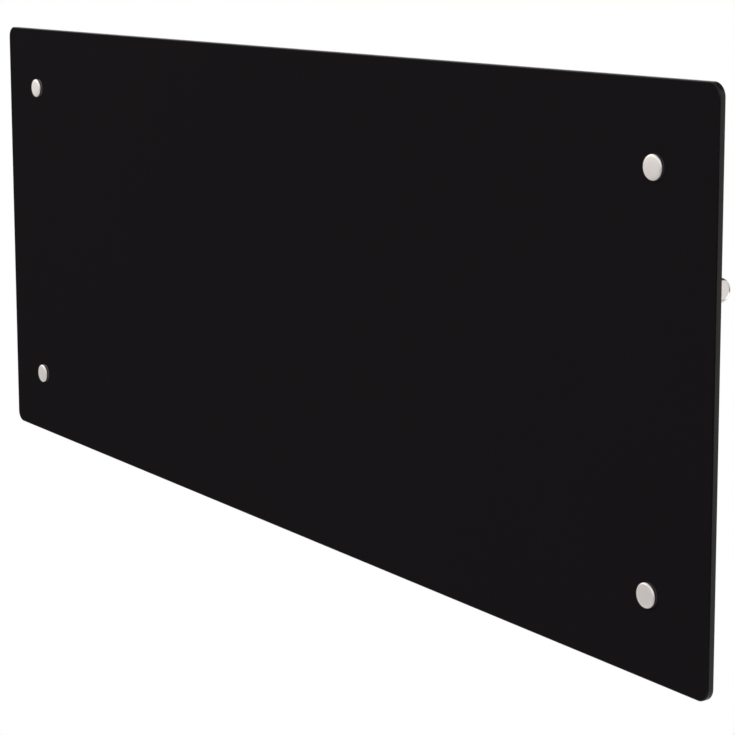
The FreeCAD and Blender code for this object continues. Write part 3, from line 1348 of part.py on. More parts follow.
def make_upright(side, sign):
    """A channel with hooks at the foot and an arm at the top, folded from one sheet."""
    middle = f"({sign} * hole_spacing_x / 2)"
    full_x = spread(middle, "upright_half")
    foot = f"({PIN_Z} - {HOOK_RADIUS})"
    arm_end_y = (ARM_END_Y, f"{ARM_END_Y} + bracket_sheet")
    parts = [
        block("web_" + side, full_x, ("-bracket_sheet", "0"), (foot, ARM_Z)),
        block("arm_" + side, full_x, (ARM_END_Y, "0"), (f"{ARM_Z} - bracket_sheet", ARM_Z)),
        block("arm_end_" + side, full_x, arm_end_y, (f"{ARM_Z} - arm_drop", ARM_Z)),
    ]
    for edge, edge_sign in SIDES:
        x = beside(middle, edge_sign, "upright_half - bracket_sheet", "upright_half")
        name = f"{side}_{edge}"
        hook_z = (foot, f"{PIN_Z} + hook_back")
        lip_y = (f"{PIN_Y} - {HOOK_RADIUS}", PIN_Y)
        parts += [
            block("flange_" + name, x, ("-upright_flange", "0"), (foot, ARM_Z)),
            block("hook_plate_" + name, x, (PIN_Y, "0"), hook_z),
            rod("hook_round_" + name, "x", *x, HOOK_RADIUS, PIN_AXIS),
            block("hook_lip_" + name, x, lip_y, (PIN_Z, f"{PIN_Z} + hook_lip")),
        ]
    across = spread(middle, "upright_half + overrun")
    notch_z = (PIN_Z, f"{PIN_Z} + hook_back + overrun")
    slot_y = (f"{ARM_END_Y} + bracket_sheet", f"{CATCH_Y[1]} + catch_play")
    slot_z = (f"{ARM_Z} - bracket_sheet - overrun", f"{ARM_Z} + overrun")
    end_y = (f"{ARM_END_Y} - overrun", f"{ARM_END_Y} + bracket_sheet + overrun")
    inner_x = beside(middle, -sign, "upright_half - bracket_sheet - rail_play", "upright_half + overrun")
    rail_y = ("-upright_flange - overrun", "-bracket_sheet")
    tools = [
        rod("notch_round_" + side, "x", *across, NOTCH_RADIUS, PIN_AXIS),
        block("notch_slot_" + side, across, spread(PIN_Y, NOTCH_RADIUS), notch_z),
        block("catch_slot_" + side, spread(middle, "catch_half + catch_side_play"), slot_y, slot_z),
        block(
            "nose_way_" + side,
            spread(middle, "nose_half + catch_side_play"),
            end_y,
            (f"{NOSE_Z} - nose_low_play", NOSE_TOP),
        ),
        block("rail_notch_" + side, inner_x, rail_y, both_ways("rail_half + rail_play")),
    ]
    through = ("-bracket_sheet - overrun", "overrun")
    for level, level_sign in LEVELS:
        wall_centre = (middle, f"{level_sign} * {WALL_HOLE_Z}")
        rivet_centre = (middle, f"{level_sign} * rivet_step")
        tools.append(rod(f"wall_hole_{side}_{level}", "y", *through, "wall_hole_radius", wall_centre))
        rivet_hole = "rivet_radius + thread_play"
        tools.append(rod(f"web_rivet_hole_{side}_{level}", "y", *through, rivet_hole, rivet_centre))
    whole = join("upright_whole_" + side, parts)
    piece(cut("upright_" + side, whole, tools), "bracket_upright_" + side)


def make_rail():
    """The rail that ties the two uprights, and the rivets that hold it."""
    front = "(-bracket_sheet - rail_sheet)"
    x = both_ways("hole_spacing_x / 2 + rail_end")
    strip = block("rail_strip", x, (front, "-bracket_sheet"), both_ways("rail_half"))
    holes = []
    rivets = []
    for side, sign in SIDES:
        for level, level_sign in LEVELS:
            centre = (f"{sign} * hole_spacing_x / 2", f"{level_sign} * rivet_step")
            name = f"{side}_{level}"
            through = (f"{front} - overrun", "-bracket_sheet + overrun")
            holes.append(rod("rail_hole_" + name, "y", *through, "rivet_radius + thread_play", centre))
            head_start = f"{front} - rivet_head_height"
            head_radii = ("rivet_radius", "rivet_head_radius")
            parts = [
                rod("rivet_shank_" + name, "y", front, "0", "rivet_radius", centre),
                cone("rivet_head_" + name, "y", head_start, front, head_radii, centre),
            ]
            rivets.append(join("rivet_" + name, parts))
    piece(cut("rail_drilled", strip, holes), "bracket_rail")
    piece(group("rivet_group", rivets), "bracket_rivets")


def make_liners():
    """A plastic saddle in each hook plate, with a cheek on both of its sides."""
    liners = []
    rim = f"({NOTCH_RADIUS} + liner_cheek_rim)"
    z = (PIN_Z, f"{PIN_Z} + hook_lip")
    for side, sign in SIDES:
        for edge, edge_sign in SIDES:
            name = f"{side}_{edge}"
            centre = f"({sign} * hole_spacing_x / 2 + {edge_sign} * (upright_half - bracket_sheet / 2))"
            half = "(bracket_sheet / 2)"
            core = spread(centre, half)
            parts = [
                rod("liner_round_" + name, "x", *core, NOTCH_RADIUS, PIN_AXIS),
                block("liner_core_" + name, core, spread(PIN_Y, NOTCH_RADIUS), z),
            ]
            for cheek, cheek_sign in SIDES:
                x = beside(centre, cheek_sign, half, f"{half} + liner_cheek")
                parts.append(rod(f"cheek_round_{name}_{cheek}", "x", *x, rim, PIN_AXIS))
                parts.append(block(f"cheek_{name}_{cheek}", x, spread(PIN_Y, rim), z))
            across = spread(centre, f"{half} + liner_cheek + overrun")
            slot_z = (PIN_Z, f"{z[1]} + overrun")
            tools = [
                rod("liner_bore_" + name, "x", *across, BORE_RADIUS, PIN_AXIS),
                block("liner_slot_" + name, across, spread(PIN_Y, BORE_RADIUS), slot_z),
            ]
            liners.append(cut("liner_" + name, join("liner_whole_" + name, parts), tools))
    piece(group("liner_group", liners), "hook_liners")


def make_catches():
    """A sliding catch on each arm, with its guide clip and the pad that the casing rests on."""
    hook_back = f"({SHELL_INNER_Y} - nose_play)"
    hook_front = f"({hook_back} - nose_hook_depth)"
    guides = []
    pads = []
    for side, sign in SIDES:
        middle = f"({sign} * hole_spacing_x / 2)"
        wide = spread(middle, "catch_half")
        narrow = spread(middle, "nose_half")
        top = f"({ARM_Z} + catch_rise)"
        bar_z = (NOSE_Z, f"{NOSE_Z} + nose_height")
        hook_z = (NOSE_Z, f"{NOSE_Z} + nose_height + nose_hook")
        tab_y = (CATCH_Y[0], f"{CATCH_Y[0]} + tab_reach")
        parts = [
            block("catch_strip_" + side, wide, CATCH_Y, (f"{NOSE_Z} - catch_foot", top)),
            block("catch_bar_" + side, narrow, (hook_front, CATCH_Y[1]), bar_z),
            block("catch_hook_" + side, narrow, (hook_front, hook_back), hook_z),
            block("catch_tab_" + side, wide, tab_y, (f"{top} - tab_thickness", top)),
        ]
        piece(join("catch_whole_" + side, parts), "catch_" + side)

        guide_near = "(catch_half + catch_side_play)"
        guide_far = f"({guide_near} + guide_side)"
        guide_back = f"({CATCH_Y[1]} + catch_play)"
        guide_z = (f"{ARM_Z} - guide_from_top - guide_height", f"{ARM_Z} - guide_from_top")
        bridge_y = (guide_back, f"{guide_back} + guide_thickness")
        clip = [block("guide_bridge_" + side, spread(middle, guide_far), bridge_y, guide_z)]
        leg_y = (f"{ARM_END_Y} + bracket_sheet", guide_back)
        for edge, edge_sign in SIDES:
            x = beside(middle, edge_sign, guide_near, guide_far)
            clip.append(block(f"guide_leg_{side}_{edge}", x, leg_y, guide_z))
        guides.append(join("guide_" + side, clip))

        pad_z = (f"{ARM_Z} - pad_from_top - pad_height", f"{ARM_Z} - pad_from_top")
        pads.append(block("pad_" + side, spread(middle, "pad_half"), (SHELL_BACK_Y, ARM_END_Y), pad_z))
    piece(group("guide_group", guides), "catch_guides")
    piece(group("pad_group", pads), "rest_pads")


# Everything

def build():
    fill_sheet()
    make_glass()
    make_caps()
    make_glass_fixings()
    edge_holes = top_bottom_holes()
    make_front_plate(edge_holes)
    make_rear_shell(edge_holes)
    make_end_caps()
    make_top_grille()
    make_casing_screws()
    make_element()
    make_element_ends()
    make_heat_shield()
    make_cutout()
    make_base()
    make_housing()
    make_board()
    make_potentiometer()
    make_knob()
    make_lamp()
    make_switch()
    make_rocker()
    make_gland()
    make_terminal_block()
    make_grommet()
    make_sensor()
    make_leads()
    make_pivot()
    for side, sign in SIDES:
        make_upright(side, sign)
    make_rail()
    make_liners()
    make_catches()
    doc.recompute()


def check():
    """Stop if anything failed to build."""
    for item in doc.Objects:
        if "Invalid" in item.State or "Error" in item.State:
            raise RuntimeError(f"{item.Name} failed: {item.State}")
    for item in pieces:
        shape = item.Shape
        if shape.isNull() or not shape.isValid() or not shape.Solids:
            raise RuntimeError(f"{item.Label} has no sound solid")


def export():
    os.makedirs("parts", exist_ok=True)
    for item in pieces:
        item.Shape.exportStep(f"parts/{item.Label}.step")
        print(item.Label, len(item.Shape.Solids), round(item.Shape.Volume, 1))


build()
check()
export()
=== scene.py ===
import json
import math

import bmesh
import bpy
from mathutils import Matrix, Vector

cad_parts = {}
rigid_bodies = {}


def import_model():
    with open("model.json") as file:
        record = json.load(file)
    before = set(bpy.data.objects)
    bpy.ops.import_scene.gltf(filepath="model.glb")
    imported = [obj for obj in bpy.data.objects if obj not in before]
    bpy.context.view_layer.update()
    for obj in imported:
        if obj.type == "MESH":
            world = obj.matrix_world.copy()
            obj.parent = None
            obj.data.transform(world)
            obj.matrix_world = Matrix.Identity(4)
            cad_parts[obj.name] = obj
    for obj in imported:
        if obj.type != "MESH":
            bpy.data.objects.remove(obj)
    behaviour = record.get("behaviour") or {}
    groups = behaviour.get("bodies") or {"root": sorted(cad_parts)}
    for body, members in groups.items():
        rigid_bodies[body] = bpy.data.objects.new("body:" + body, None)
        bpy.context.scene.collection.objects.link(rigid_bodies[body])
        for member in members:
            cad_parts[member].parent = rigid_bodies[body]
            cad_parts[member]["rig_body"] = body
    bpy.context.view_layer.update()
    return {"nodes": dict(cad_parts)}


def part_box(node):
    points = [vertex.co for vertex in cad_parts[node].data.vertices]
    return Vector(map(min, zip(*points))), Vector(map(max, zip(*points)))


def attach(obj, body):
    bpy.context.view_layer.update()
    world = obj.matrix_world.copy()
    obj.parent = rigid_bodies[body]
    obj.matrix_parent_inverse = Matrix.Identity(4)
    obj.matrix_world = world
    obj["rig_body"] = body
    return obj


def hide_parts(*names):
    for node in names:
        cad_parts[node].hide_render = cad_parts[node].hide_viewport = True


bl_info = {
    "name": "Panel Heater Look",
    "version": (1, 0, 0),
    "blender": (4, 5, 0),
    "location": "View3D > Sidebar > Heater",
    "description": "Finishes and fine pieces for a wall-hung panel heater around its CAD frame",
    "category": "Object",
}

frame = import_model()

NODES = frame["nodes"]
CAPS = ("cap_upper_right", "cap_upper_left", "cap_lower_left", "cap_lower_right")

MM = 0.001
MERGE = 1e-6  # points nearer than this are one point
ON_AXIS = 1e-7  # a smaller radius lies on the axis
FLAT_ANGLE = 1  # degrees, faces that differ by less are one face
SHARP_ANGLE = 35  # degrees, an edge that turns more stays sharp


# Sizes and colours that a user would change


class HeaterGlass(bpy.types.PropertyGroup):
    arris: bpy.props.FloatProperty(
        name="Arris", description="Ground edge of the glass", default=0.6 * MM, subtype="DISTANCE"
    )
    corner: bpy.props.FloatProperty(
        name="Corner radius", description="Radius of the glass corners", default=9 * MM, subtype="DISTANCE"
    )
    hole: bpy.props.FloatProperty(
        name="Hole radius", description="Radius of the fixing holes", default=5.75 * MM, subtype="DISTANCE"
    )
    face_colour: bpy.props.FloatVectorProperty(
        name="Face", description="Enamel seen through the glass", default=(0.0118, 0.0098, 0.0114), subtype="COLOR"
    )
    edge_front: bpy.props.FloatVectorProperty(
        name="Edge, front", description="Ground edge by the face", default=(0.0045, 0.0043, 0.0040), subtype="COLOR"
    )
    # painted sheen: this rear colour of the ground edge is set lighter to stand in for the light that the back
    # arris catches
    edge_rear_painted_sheen: bpy.props.FloatVectorProperty(
        name="Edge, rear", description="Ground edge by the back", default=(0.017, 0.0165, 0.0145), subtype="COLOR"
    )


class HeaterMetal(bpy.types.PropertyGroup):
    cap_colour: bpy.props.FloatVectorProperty(
        name="Caps", description="Satin metal of the caps", default=(0.93, 0.865, 0.825), subtype="COLOR"
    )
    knob_colour: bpy.props.FloatVectorProperty(
        name="Knob", description="Satin metal of the knob", default=(0.70, 0.65, 0.63), subtype="COLOR"
    )
    zinc_colour: bpy.props.FloatVectorProperty(
        name="Zinc", description="Galvanised sheet", default=(0.56, 0.58, 0.59), subtype="COLOR"
    )
    cap_rounding: bpy.props.FloatProperty(
        name="Cap rounding", description="Rounded rim of the caps", default=0.9 * MM, subtype="DISTANCE"
    )


class HeaterCasing(bpy.types.PropertyGroup):
    coat_colour: bpy.props.FloatVectorProperty(
        name="Coat", description="Black powder coat", default=(0.021, 0.021, 0.022), subtype="COLOR"
    )
    plastic_colour: bpy.props.FloatVectorProperty(
        name="Plastic", description="Black moulded plastic", default=(0.026, 0.026, 0.027), subtype="COLOR"
    )
    edge_rounding: bpy.props.FloatProperty(
        name="Edge rounding", description="Rounded edges of the housing", default=1.1 * MM, subtype="DISTANCE"
    )
    fold_radius: bpy.props.FloatProperty(
        name="Fold radius", description="Rounded folds of the sheet metal", default=0.9 * MM, subtype="DISTANCE"
    )
    tick_count: bpy.props.IntProperty(name="Scale marks", description="Marks around the knob", default=28, min=2)


class HeaterStage(bpy.types.PropertyGroup):
    floor_level: bpy.props.FloatProperty(
        name="Floor level", description="Height of the floor", default=-0.85, subtype="DISTANCE"
    )
    floor_radius: bpy.props.FloatProperty(
        name="Floor radius", description="Where the floor has faded out", default=1.2, subtype="DISTANCE"
    )
    key_power: bpy.props.FloatProperty(
        name="Key light", description="Power of the main soft light", default=52, subtype="POWER"
    )
    fill_power: bpy.props.FloatProperty(
        name="Fill light", description="Power of the right-hand soft light", default=25, subtype="POWER"
    )
    back_power: bpy.props.FloatProperty(
        name="Back light", description="Power of the soft light behind", default=26, subtype="POWER"
    )
    ambient: bpy.props.FloatProperty(name="Ambient", description="Even light from all round", default=0.45)


# Small helpers for places and meshes


def link(obj):
    bpy.context.scene.collection.objects.link(obj)
    return obj


def plain_mesh(obj, name):
    """The object's evaluated shape as a plain mesh with its place in its points."""
    bpy.context.view_layer.update()
    shape = bpy.data.meshes.new_from_object(obj.evaluated_get(bpy.context.evaluated_depsgraph_get()))
    shape.transform(obj.matrix_world)
    shape.name = name
    return shape


def smoothed(mesh, sharp_angle=SHARP_ANGLE):
    """Shade the mesh smooth, except over edges that turn more than sharp_angle."""
    mesh.polygons.foreach_set("use_smooth", [True] * len(mesh.polygons))
    mesh.set_sharp_from_angle(angle=math.radians(sharp_angle))
    return mesh


def from_bmesh(bm, name, sharp_angle=SHARP_ANGLE):
    mesh = bpy.data.meshes.new(name)
    bm.to_mesh(mesh)
    bm.free()
    return smoothed(mesh, sharp_angle)


def piece(name, mesh, looks, body, replaced=()):
    """Make a finished piece of the mesh and hang it on its body."""
    made = link(bpy.data.objects.new(name, mesh))
    if mesh.materials:
        mesh.materials.clear()
    for look in looks:
        mesh.materials.append(look)
    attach(made, body)
    if replaced:
        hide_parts(*replaced)
    return made


def centre_of(node):
    low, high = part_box(node)
    return (low + high) / 2


def body_of(node):
    return NODES[node]["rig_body"]


def solids(node):
    """The points of each separate solid of a CAD node."""
    bm = bmesh.new()
    bm.from_mesh(NODES[node].data)
    bmesh.ops.remove_doubles(bm, verts=bm.verts, dist=MERGE)
    left = set(bm.verts)
    found = []
    while left:
        queue = [left.pop()]
        group = []
        while queue:
            vertex = queue.pop()
            group.append(vertex.co.copy())
            for edge in vertex.link_edges:
                other = edge.other_vert(vertex)
                if other in left:
                    left.discard(other)
                    queue.append(other)
        found.append(group)
    bm.free()
    return found


def span(points):
    """Lowest and highest corner of some points."""
    low = Vector(min(p[i] for p in points) for i in range(3))
    high = Vector(max(p[i] for p in points) for i in range(3))
    return low, high


def unit(index):
    """The unit vector along X, Y or Z."""
    return Vector([1.0 if i == index else 0.0 for i in range(3)])


def arc(centre, radius, start, end, count):
    """Points (radius, height) of an arc, with angles in degrees."""
    points = []
    for index in range(count + 1):
        angle = math.radians(start + (end - start) * index / count)
        points.append((centre[0] + radius * math.cos(angle), centre[1] + radius * math.sin(angle)))
    return points


def shoulder(radius, top, across, down, start, count):
    """Points of a rounded shoulder, across and down from a top face to the side at radius."""
    quarter = arc((0, 0), 1, start, 0, count)
    return [(radius - across + across * x, top - down * (1 - y)) for x, y in quarter]


def turned(name, profile, centre, axis, steps=96):
    """A shape turned about an axis, with a UV map of turn and length along the profile."""
    bm = bmesh.new()
    layer = bm.loops.layers.uv.new("turning")
    spin = Vector((0, 0, 1)).rotation_difference(Vector(axis)).to_matrix().to_4x4()
    place = Matrix.Translation(Vector(centre)) @ spin
    rings = []
    lengths = [0.0]
    for index, (radius, height) in enumerate(profile):
        if index:
            before = profile[index - 1]
            lengths.append(lengths[-1] + math.hypot(radius - before[0], height - before[1]))
        if radius < ON_AXIS:
            rings.append([bm.verts.new(place @ Vector((0, 0, height)))] * steps)
            continue
        ring = []
        for step in range(steps):
            angle = math.tau * step / steps
            ring.append(bm.verts.new(place @ Vector((radius * math.cos(angle), radius * math.sin(angle), height))))
        rings.append(ring)
    for index in range(len(rings) - 1):
        for step in range(steps):
            after = (step + 1) % steps
            corners = [
                (rings[index][step], step, index),
                (rings[index][after], step + 1, index),
                (rings[index + 1][after], step + 1, index + 1),
                (rings[index + 1][step], step, index + 1),
            ]
            kept = []
            for corner in corners:
                if all(corner[0] is not other[0] for other in kept):
                    kept.append(corner)
            if len(kept) < 3:
                continue
            face = bm.faces.new([corner[0] for corner in kept])
            for loop, corner in zip(face.loops, kept):
                loop[layer].uv = (corner[1] / steps, lengths[corner[2]])
    bmesh.ops.recalc_face_normals(bm, faces=bm.faces)
    return from_bmesh(bm, name)


def softened(node, name, look, width, segments=2, shortest=3 * MM, where=None):
    """A piece like a CAD node with its sharp outer edges rounded, apart from short ones."""
    bm = bmesh.new()
    bm.from_mesh(NODES[node].data)
    bmesh.ops.remove_doubles(bm, verts=bm.verts, dist=MERGE)
    bmesh.ops.dissolve_limit(bm, angle_limit=math.radians(FLAT_ANGLE), verts=bm.verts, edges=bm.edges)
    edges = [
        edge
        for edge in bm.edges
        if len(edge.link_faces) == 2
        and edge.calc_length() > shortest
        and edge.calc_face_angle_signed(0) > math.radians(SHARP_ANGLE)
        and (where is None or where(edge))
    ]
    bmesh.ops.bevel(
        bm, geom=edges, offset=width, segments=segments, profile=0.5, affect="EDGES", clamp_overlap=True
    )
    bmesh.ops.triangulate(bm, faces=[face for face in bm.faces if len(face.verts) > 4])
    host = link(bpy.data.objects.new(name + "_host", from_bmesh(bm, name + "_host")))
    modifier = host.modifiers.new("flat_faces", "WEIGHTED_NORMAL")
    modifier.keep_sharp = True
    mesh = plain_mesh(host, name)
    bpy.data.objects.remove(host)
    return piece(name, mesh, [look], body_of(node), [node])


def joined(name, parts):
    """One mesh from several, each with its own place."""
    bm = bmesh.new()
    for mesh, place in parts:
        copy = mesh.copy()
        copy.transform(place)
        bm.from_mesh(copy)
        bpy.data.meshes.remove(copy)
    return from_bmesh(bm, name)


def upright(place, out, up=(0, 0, 1)):
    """A place whose Z points out of a surface, and whose Y points up along it."""
    out = Vector(out).normalized()
    side = Vector(up).cross(out).normalized()
    turn = Matrix((side, out.cross(side), out)).transposed()
    return Matrix.Translation(Vector(place)) @ turn.to_4x4()


def figure(text, size, depth):
    """A plain figure as a thin solid, centred on the origin."""
    curve = bpy.data.curves.new("figure", "FONT")
    curve.body = text
    curve.size = size
    curve.extrude = depth / 2
    curve.align_x = "CENTER"
    curve.align_y = "CENTER"
    curve.resolution_u = 4
    host = link(bpy.data.objects.new("figure", curve))
    mesh = plain_mesh(host, "figure")
    bpy.data.objects.remove(host)
    return mesh


def cross_headed(mesh, reach, width, depth):
    """Cut a tapered cross into a shape whose top lies at 0."""
    wide, narrow = 1.1, 0.6
    bm = bmesh.new()
    half, arm = reach / 2, width / 2
    corner = ((arm, half), (arm, arm), (half, arm), (half, -arm), (arm, -arm), (arm, -half))
    outline = list(corner) + [(-x, -y) for x, y in corner]
    rings = []
    for height, share in ((depth, wide), (-depth, narrow)):
        rings.append([bm.verts.new((x * share, y * share, height)) for x, y in outline])
    for step in range(len(outline)):
        after = (step + 1) % len(outline)
        bm.faces.new((rings[0][step], rings[0][after], rings[1][after], rings[1][step]))
    bm.faces.new(rings[0])
    bm.faces.new(rings[1])
    bmesh.ops.recalc_face_normals(bm, faces=bm.faces)
    cutter = link(bpy.data.objects.new("cross_cutter", from_bmesh(bm, "cross_cutter")))
    host = link(bpy.data.objects.new("cross_host", mesh))
    modifier = host.modifiers.new("cross", "BOOLEAN")
    modifier.object = cutter
    modifier.solver = "EXACT"
    cut = plain_mesh(host, mesh.name + "_crossed")
    bpy.data.objects.remove(host)
    bpy.data.objects.remove(cutter)
    return cut


# Materials


class Finish:
    """A material with short calls that add and join its nodes."""

    def __init__(self, name, **constants):
        self.material = bpy.data.materials.new(name)
        self.material.use_nodes = True
        self.tree = self.material.node_tree
        self.shader = self.tree.nodes["Principled BSDF"]
        for key, value in constants.items():
            self.feed(self.shader.inputs[key.replace("_", " ")], value)
        self.place = self.node("TexCoord").outputs["Object"]

    def feed(self, socket, value):
        if isinstance(value, bpy.types.NodeSocket):
            self.tree.links.new(value, socket)
        elif socket.type == "RGBA" and len(value) == 3:
            socket.default_value = (*value, 1)
        else:
            socket.default_value = value

    def node(self, kind, settings=None, values=(), **inputs):
        made = self.tree.nodes.new("ShaderNode" + kind)
        for key, value in (settings or {}).items():
            setattr(made, key, value)
        for index, value in enumerate(values):
            self.feed(made.inputs[index], value)
        for key, value in inputs.items():
            self.feed(made.inputs[key.replace("_", " ")], value)
        return made

    def stretched(self, scale, source=None):
        return self.node("Mapping", Vector=source or self.place, Scale=scale).outputs[0]

    def noise(self, scale, detail=3, source=None):
        """Grey noise in the piece's own place, or in the source's."""
        made = self.node("TexNoise", Vector=source or self.place, Scale=scale, Detail=detail, Roughness=0.55)
        return made.outputs[0]

    def math(self, operation, *values):
        return self.node("Math", {"operation": operation}, values).outputs[0]

    def between(self, fac, low, high):
        """Spread the middle half of fac, where most of a noise lies, over low to high."""
        return self.node("MapRange", Value=fac, From_Min=0.25, From_Max=0.75, To_Min=low, To_Max=high).outputs[0]

    def blend(self, fac, first, second):
        made = self.node("Mix", {"data_type": "RGBA"})
        self.feed(made.inputs[0], fac)
        self.feed(made.inputs[6], first)
        self.feed(made.inputs[7], second)
        return made.outputs[2]

    def colour(self, source):
        self.feed(self.shader.inputs["Base Color"], source)

    def rough(self, source):
        self.feed(self.shader.inputs["Roughness"], source)

    def bump(self, height, distance, strength):
        made = self.node("Bump", Height=height, Distance=distance, Strength=strength)
        self.feed(self.shader.inputs["Normal"], made.outputs[0])


def shade(colour, factor):
    return tuple(min(1, part * factor) for part in colour[:3])


FINISHES = {}


def finish(name, make, *values):
    """The material called name, which make makes once from these values."""
    if name not in FINISHES:
        FINISHES[name] = make(name, *values)
    return FINISHES[name]


def powder_coat(name):
    colour = bpy.context.scene.heater_casing.coat_colour
    look = Finish(name, Metallic=0.0)
    grain = look.noise(1400, detail=2)
    cloud = look.noise(9, detail=3)
    look.colour(look.blend(cloud, shade(colour, 0.85), shade(colour, 1.2)))
    look.rough(look.between(grain, 0.5, 0.62))
    look.bump(grain, 0.08 * MM, strength=0.6)
    return look.material


def galvanised(name):
    """Zinc with faint crystals, whose borders a little noise bends."""
    colour = bpy.context.scene.heater_metal.zinc_colour
    look = Finish(name, Metallic=1.0)
    bend = 0.006
    warped = look.node("Mix", {"data_type": "VECTOR"})
    look.feed(warped.inputs[0], bend)
    look.feed(warped.inputs[4], look.place)
    look.feed(warped.inputs[5], look.node("TexNoise", Vector=look.place, Scale=60, Detail=2).outputs[1])
    crystals = look.node("TexVoronoi", Vector=warped.outputs[1], Scale=190)
    tone = look.node("SeparateColor", values=(crystals.outputs["Color"],)).outputs[0]
    look.colour(look.blend(tone, shade(colour, 0.95), shade(colour, 1.05)))
    look.rough(look.between(tone, 0.42, 0.48))
    look.bump(look.noise(700, detail=3), 0.03 * MM, strength=0.5)
    return look.material


def plated(name):
    look = Finish(name, Metallic=1.0)
    streak = look.noise(55, detail=3, source=look.stretched((1, 6, 1)))
    look.colour(look.blend(streak, (0.50, 0.50, 0.47), (0.66, 0.66, 0.64)))
    look.rough(look.between(look.noise(300, detail=3), 0.24, 0.4))
    look.bump(look.noise(900, detail=2), 0.02 * MM, strength=0.4)
    return look.material


def satin(name, colour, roughness, metallic=1.0):
    """Turned metal with fine rings that follow the piece's own UV map."""
    look = Finish(name, Metallic=metallic)
    map_node = look.node("UVMap", {"uv_map": "turning"}).outputs[0]
    rings = look.noise(1.0, detail=2, source=look.stretched((2, 26000, 1), map_node))
    cloud = look.noise(260, detail=3)
    look.colour(look.blend(cloud, shade(colour, 0.96), shade(colour, 1.04)))
    look.rough(look.between(rings, roughness - 0.05, roughness + 0.05))
    look.bump(rings, 0.01 * MM, strength=0.25)
    return look.material


def moulded(name, colour, roughness=0.45, grain=2200, depth=0.03):
    look = Finish(name, Metallic=0.0)
    fine = look.noise(grain, detail=2)
    cloud = look.noise(35, detail=3)
    look.colour(look.blend(cloud, shade(colour, 0.92), shade(colour, 1.1)))
    look.rough(look.between(fine, roughness - 0.06, roughness + 0.06))
    look.bump(fine, depth * MM, strength=0.6)
    return look.material


def extruded(name, colour, roughness=0.3):
    """Drawn or extruded metal with fine lines along X."""
    look = Finish(name, Metallic=1.0)
    lines = look.noise(1500, detail=2, source=look.stretched((0.01, 1, 1)))
    look.colour(look.blend(lines, shade(colour, 0.9), shade(colour, 1.08)))
    look.rough(look.between(lines, roughness - 0.07, roughness + 0.07))
    look.bump(lines, 0.02 * MM, strength=0.4)
    return look.material


def glass_face(name):
    sizes = bpy.context.scene.heater_glass
    look = Finish(name, Specular_IOR_Level=0.5)
    smear = look.noise(7, detail=4)
    look.colour(look.blend(smear, shade(sizes.face_colour, 0.97), shade(sizes.face_colour, 1.03)))
    look.rough(look.between(smear, 0.03, 0.05))
    return look.material


def glass_edge(name):
    sizes = bpy.context.scene.heater_glass
    low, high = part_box("glass_front")
    look = Finish(name, Specular_IOR_Level=0.2)
    depth = look.node("SeparateXYZ", values=(look.place,)).outputs[1]
    share = look.node("MapRange", Value=depth, From_Min=low.y, From_Max=high.y).outputs[0]
    ground = look.noise(900, detail=3, source=look.stretched((1, 1, 0.2)))
    # dark ground glass near the face, then a painted sheen that lightens the edge towards the back in place of
    # light on its rear arris
    look.colour(look.blend(share, sizes.edge_front, sizes.edge_rear_painted_sheen))
    look.rough(look.between(ground, 0.22, 0.34))
    look.bump(ground, 0.02 * MM, strength=0.4)
    return look.material


def glass_back(name):
    look = Finish(name, Metallic=0.0)
    print_grain = look.noise(800, detail=3)
    look.colour(look.blend(print_grain, (0.008, 0.008, 0.008), (0.013, 0.013, 0.013)))
    look.rough(look.between(print_grain, 0.42, 0.52))
    look.bump(print_grain, 0.02 * MM, strength=0.4)
    return look.material


def striped(name, first, second):
    look = Finish(name, Roughness=0.4)
    parts = look.node("SeparateXYZ", values=(look.place,))
    across = look.math("SUBTRACT", parts.outputs[0], parts.outputs[1])
    wave = look.math("SINE", look.math("MULTIPLY", across, 2600))
    look.colour(look.blend(look.math("GREATER_THAN", wave, 0.1), first, second))
    look.bump(look.noise(1500, detail=2), 0.02 * MM, strength=0.4)
    return look.material


def lens_red(name):
    look = Finish(name, Roughness=0.12, Transmission_Weight=0.35, IOR=1.49)
    cloud = look.noise(500, detail=2)
    look.colour(look.blend(cloud, (0.42, 0.016, 0.01), (0.55, 0.03, 0.02)))
    return look.material


def satin_cap(name):
    return satin(name, bpy.context.scene.heater_metal.cap_colour, 0.42, 0.4)


def satin_knob(name):
    return satin(name, bpy.context.scene.heater_metal.knob_colour, 0.26)


def black_plastic(name):
    return moulded(name, bpy.context.scene.heater_casing.plastic_colour)


def black_screw(name):
    return moulded(name, (0.035, 0.035, 0.036), 0.32, 900)


def black_gloss(name):
    return moulded(name, (0.02, 0.02, 0.02), 0.16, 900, 0.006)


def white_ink(name):
    return moulded(name, (0.72, 0.72, 0.7), 0.5)


